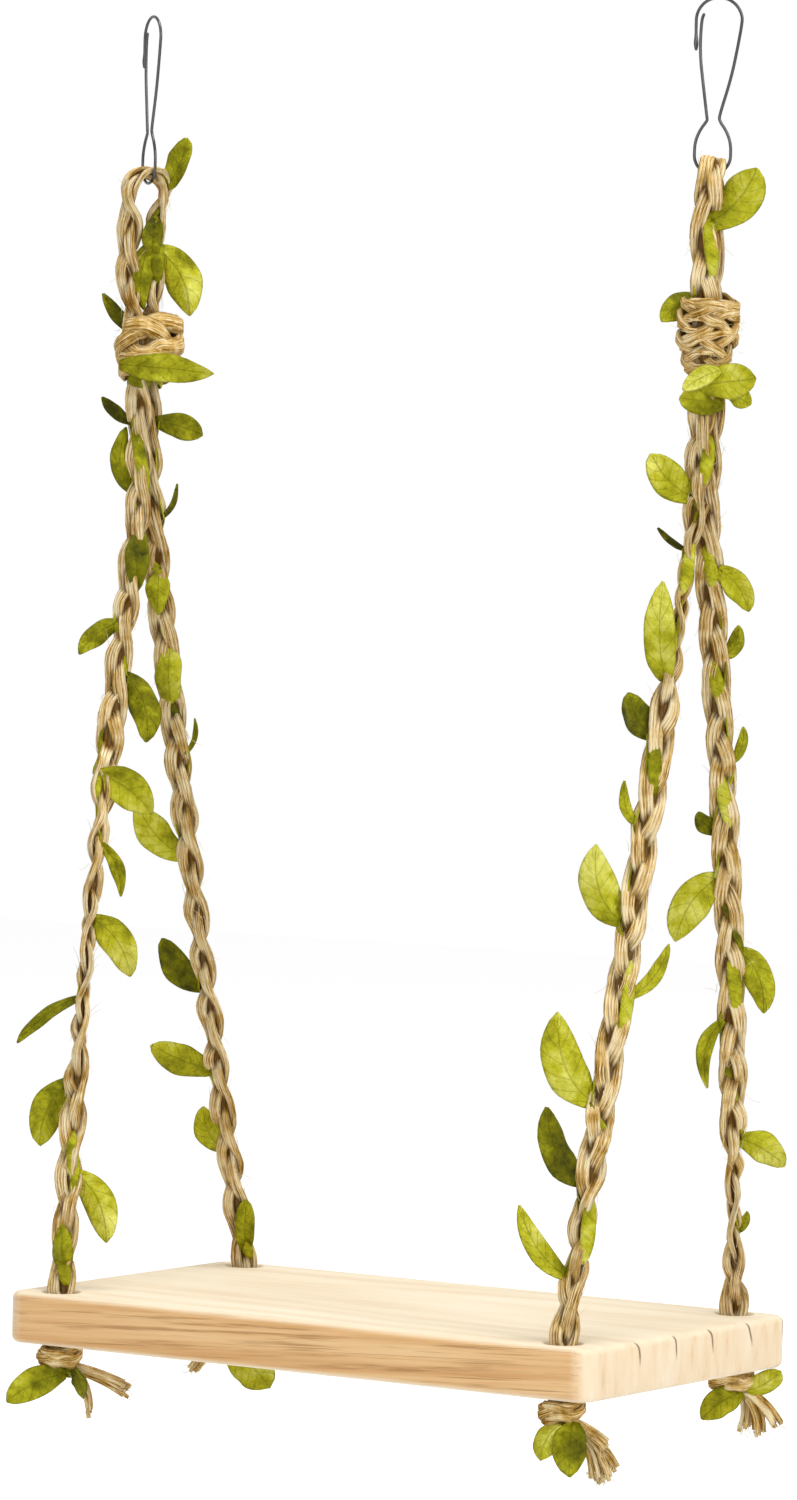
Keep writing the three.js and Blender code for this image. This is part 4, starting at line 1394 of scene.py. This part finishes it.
def edge_flecks(wood, grain):
    """Fine dark flecks and hairlines along the grain."""
    flecks = wood.streaks(grain, (22, 300, 560), (3.1, 0, 0))
    hairlines = wood.streaks(grain, (16, 500, 1300), (7.7, 0, 0))
    fleck = wood.spread(flecks, 0.62, 0.9, 0.0, 0.7)
    return wood.maths("MAXIMUM", fleck, wood.spread(hairlines, 0.66, 0.86, 0.0, 0.75))


def year_rings(wood, grain):
    kind = {"Scale": 50.0, "Distortion": 4.0, "Detail": 2.0, "Detail Scale": 0.6}
    kind["Vector"] = wood.scaled(grain, (0.25, 1, 1), RING_MIDDLE)
    return wood.put("ShaderNodeTexWave", kind, wave_type="RINGS", rings_direction="X").outputs["Fac"]


def wood_material():
    wood = Finish("pale softwood")
    spot = wood.spot()
    x, y, z = wood.parts(spot)
    slant = (0, math.radians(GRAIN_SLANT), 0)
    grain = wood.put("ShaderNodeMapping", {"Vector": spot, "Rotation": slant}).outputs["Vector"]
    below_top = wood.maths("SUBTRACT", BOARD_TOP, z)
    above_foot = wood.maths("SUBTRACT", BOARD_THICK / 1000, below_top)
    side = wood.spread(wood.maths("MINIMUM", below_top, above_foot), *EDGE_BLEND)
    at_end = wood.spread(wood.maths("ABSOLUTE", x), *END_BLEND)

    fine = wood.streaks(grain, (14, 900, 900))
    broad = wood.streaks(grain, (6, 90, 120))
    tone = wood.weighed((fine, 0.4), (broad, 0.35), (year_rings(wood, grain), 0.25))
    end_grain = wood.ramp(wood.streaks(spot, (120, 190, 38)), END_GRAIN)
    around = wood.mix(at_end, wood.ramp(tone, EDGE_GRAIN), end_grain)
    # Top and bottom faces paler: the wood's own tone, partly painted light for the brightly lit top
    pine = wood.mix(side, wood.ramp(tone, FACE_GRAIN_AND_LIGHT), around)
    on_long_side = wood.maths("MULTIPLY", side, wood.maths("SUBTRACT", 1.0, at_end))
    pine = wood.mix(wood.maths("MULTIPLY", edge_flecks(wood, grain), on_long_side), pine, FLECK)
    cracks = wood.maths("MULTIPLY", end_cracks(wood, spot, x, y, z), 0.85)
    return wood.done(
        {
            "Base Color": wood.mix(cracks, pine, CRACK),
            "Roughness": wood.spread(fine, 0, 1, 0.62, 0.78),
            "Specular IOR Level": 0.25,
            "Normal": wood.bump(fine, 0.00015, 0.5),
        }
    )


FINISHES = {
    "wood": wood_material(),
    "jute": jute_material(),
    "leaf_cloth": leaf_material(),
    "steel_wire": steel_material(),
}


# The swing, piece by piece


def to_frame(spot):
    return tuple(TO_FRAME @ spot)


def show(name, mesh, slot, node=None, body=None):
    """Puts a finished mesh in the scene, with its slot's finish, in place of the frame's solid."""
    mesh.name = name
    mesh.materials.append(FINISHES[slot])
    piece = bpy.data.objects.new(name, mesh)
    bpy.context.scene.collection.objects.link(piece)
    if node:
        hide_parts(node)
    if body:
        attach(piece, body)
    return piece


def build_hooks():
    for name, side in SIDES.items():
        hook = wire_mesh(side, hook_route(), tail_swell)
        show(f"{name}_hook_wire", hook, "steel_wire", f"{name}_hook", "hooks")
        gate = wire_mesh(side, gate_route(), plain)
        show(f"{name}_gate_wire", gate, "steel_wire", f"{name}_hook_gate", f"{name}_gate")


def eye_hairs(route, knot_middle, draw):
    """Hairs along an eye and round its knot."""
    bm = new_bmesh()
    add_rope_hairs(bm, route, EYE_BARE, route.length - EYE_BARE, EYE_HAIRS, draw)
    for _ in range(KNOT_HAIRS):
        out = heading(draw.uniform(0, 360))
        height = draw.uniform(-KNOT_HAIRS_HIGH, KNOT_HAIRS_HIGH)
        base = knot_middle + out * KNOT_HAIRS_OFF + UP * height
        way = out + random_way(draw) * 0.8
        add_hair(bm, base, way.normalized(), draw.uniform(1.5, 3.5), draw)
    return finish_mesh(bm)


def build_eye(name, draw):
    side = SIDES[name]
    body = f"{name}_eye"
    route = Route(eye_spots(side))
    show(f"{name}_eye_plait", plait_mesh(route, EYE_SEED[name]), "jute", f"{name}_rope_eye", body)

    middle = hook_at(side, KNOT_MIDDLE) + Vector(KNOT_SHIFT[name])
    tilt = TOP_KNOT_TILT * side
    knot = knot_mesh(middle, tilt, TOP_KNOTS[name], LOOSE_TURNS[name], KNOT_SEED[name])
    show(f"{name}_knot", knot, "jute", f"{name}_top_knot", body)
    show(f"{name}_eye_fibres", eye_hairs(route, middle, draw), "jute", body=body)

    leaves = [(EYE_TOP - drop, *rest) for drop, *rest in EYE_LEAVES[name]]
    cloth = leaves_on(lambda height: run_spot(side, -side, height), leaves, EYE_STRIPS[name], draw)
    show(f"{name}_eye_leaf_cloth", cloth, "leaf_cloth", f"{name}_eye_leaves", body)

    neck = hook_at(side, KNOT_FOOT - COLLAR_BELOW)
    cloth = collar_mesh(neck, KNOT_INNER, COLLAR_LEAVES[name], draw)
    show(f"{name}_collar_leaf_cloth", cloth, "leaf_cloth", f"{name}_collar_leaves", body)


def build_leg(corner, draw):
    side = side_of(corner)
    legs = f"{side_name(corner)}_legs"
    route = Route(leg_spots(corner))
    rope = show(f"{corner}_leg_plait", plait_mesh(route, LEG_SEED[corner]), "jute", f"{corner}_leg")

    bm = new_bmesh()
    add_rope_hairs(bm, route, LEG_BARE_TOP, route.length - LEG_BARE_FOOT, LEG_HAIRS, draw)
    hairs = show(f"{corner}_leg_fibres", finish_mesh(bm), "jute", body=legs)

    cloth = leaves_on(lambda height: leg_spot(corner, height), LEG_LEAVES[corner], LEG_STRIPS[corner], draw)
    leaves = show(f"{corner}_leaf_cloth", cloth, "leaf_cloth", f"{corner}_leg_leaves", legs)

    path = [to_frame(place.middle) for place in route.places]
    above = to_frame(hook_at(side, PIVOT_HEIGHT + BEND_ABOVE))
    below = to_frame(hook_at(side, PIVOT_HEIGHT - BEND_BELOW))
    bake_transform(rope, f"{side_name(corner)}_eye", legs, above, below)
    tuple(path[0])


def build_end(corner, draw):
    show(f"{corner}_rope_end_plait", rope_end_mesh(corner, draw), "jute", f"{corner}_rope_end", "board")
    tilt = STOPPER_TILT * depth_of(corner)
    middle = hole_at(corner, STOPPER_MIDDLE)
    knot = knot_mesh(middle, tilt, STOPPER, STOPPER_LOOSE_TURNS, draw.uniform(0, 9))
    show(f"{corner}_stopper", knot, "jute", f"{corner}_stopper_knot", "board")
    cloth = collar_mesh(hole_at(corner, STUB_END), END_COLLAR, END_LEAVES[corner], draw)
    show(f"{corner}_end_leaf_cloth", cloth, "leaf_cloth", f"{corner}_end_leaves", "board")


def build():
    # The knots' lumps would start from the clock without this
    noise.seed_set(LUMP_SEED)
    show("softwood_board", board_mesh(), "wood", "board", "board")
    build_hooks()
    for seed, name in enumerate(SIDES):
        build_eye(name, random.Random(EYE_DRAWS + seed))
    for seed, corner in enumerate(CORNERS):
        build_leg(corner, random.Random(LEG_DRAWS + seed))
        build_end(corner, random.Random(END_DRAWS + seed))


# Stage: camera, floor, lamps and background, in metres

CAMERA_PLACE = (0.99601, -1.52571, -0.15915)
CAMERA_LENS = 151.11
CAMERA_SENSOR = 36
CAMERA_YAW = -0.580
CAMERA_PITCH = -0.030
CAMERA_ROLL = -0.023
FLOOR_HEIGHT = -0.56
FLOOR_HALF = 4
FLOOR_COLOUR = (0.92, 0.92, 0.92)
FLOOR_GLOW = 0.6
WHITE = (1, 1, 1)
ROOM_LIGHT = 0.4
LAMP_TARGET = Vector((0, 0, -0.22))

# Lamps: name, place, size across and power
LAMPS = [
    ("overhead", (0.25, -0.1, 1.4), 0.9, 19),
    ("right", (1.7, -0.35, 0.55), 0.8, 13.5),
    ("front", (0.3, -2.2, 0.3), 1.4, 10.5),
]


def add_camera():
    level = math.cos(CAMERA_PITCH)
    ahead = Vector((math.sin(CAMERA_YAW) * level, math.cos(CAMERA_YAW) * level, math.sin(CAMERA_PITCH)))
    right = Vector((math.cos(CAMERA_YAW), -math.sin(CAMERA_YAW), 0))
    down = ahead.cross(right)
    rolled_right = right * math.cos(CAMERA_ROLL) + down * math.sin(CAMERA_ROLL)
    rolled_up = right * math.sin(CAMERA_ROLL) - down * math.cos(CAMERA_ROLL)
    data = bpy.data.cameras.new("camera")
    data.sensor_width = CAMERA_SENSOR
    data.lens = CAMERA_LENS
    camera = bpy.data.objects.new("camera", data)
    turned = Matrix((rolled_right, rolled_up, -ahead)).transposed().to_4x4()
    camera.matrix_world = Matrix.Translation(CAMERA_PLACE) @ turned
    bpy.context.scene.collection.objects.link(camera)
    bpy.context.scene.camera = camera


def seen_rays(paint):
    """1 for rays that show the background: from the camera, off metal or through glass."""
    rays = paint.put("ShaderNodeLightPath").outputs
    seen = paint.maths("MAXIMUM", rays["Is Camera Ray"], rays["Is Glossy Ray"])
    return paint.maths("MAXIMUM", seen, rays["Is Transmission Ray"])


def add_world():
    world = bpy.data.worlds.new("white room")
    world.use_nodes = True
    paint = Paint(world.node_tree)
    background = world.node_tree.nodes["Background"]
    paint.feed(background.inputs["Color"], WHITE)
    paint.feed(background.inputs["Strength"], paint.spread(seen_rays(paint), 0, 1, ROOM_LIGHT, 1.0))
    bpy.context.scene.world = world


def floor_material():
    pale = Finish("pale floor")
    pale.tree.nodes.clear()
    matt = pale.put("ShaderNodeBsdfDiffuse", {"Color": FLOOR_COLOUR}).outputs["BSDF"]
    strength = pale.maths("MULTIPLY", seen_rays(pale), FLOOR_GLOW)
    glow = pale.put("ShaderNodeEmission", {"Color": WHITE, "Strength": strength}).outputs["Emission"]
    both = pale.put("ShaderNodeAddShader", {0: matt, 1: glow}).outputs["Shader"]
    pale.put("ShaderNodeOutputMaterial", {"Surface": both})
    return pale.material


def add_floor():
    bm = bmesh.new()
    bmesh.ops.create_grid(bm, x_segments=4, y_segments=4, size=FLOOR_HALF)
    bmesh.ops.translate(bm, vec=(0, 0, FLOOR_HEIGHT), verts=bm.verts)
    mesh = bpy.data.meshes.new("floor")
    bm.to_mesh(mesh)
    bm.free()
    mesh.materials.append(floor_material())
    floor = bpy.data.objects.new("floor", mesh)
    bpy.context.scene.collection.objects.link(floor)


def add_lamps():
    for name, place, size, power in LAMPS:
        data = bpy.data.lights.new(name, "AREA")
        data.shape = "DISK"
        data.size = size
        data.energy = power
        lamp = bpy.data.objects.new(name, data)
        lamp.location = place
        lamp.rotation_euler = (LAMP_TARGET - Vector(place)).to_track_quat("-Z", "Y").to_euler()
        bpy.context.scene.collection.objects.link(lamp)


bpy.context.scene.view_settings.view_transform = "Standard"
add_camera()
add_world()
add_floor()
add_lamps()
build()
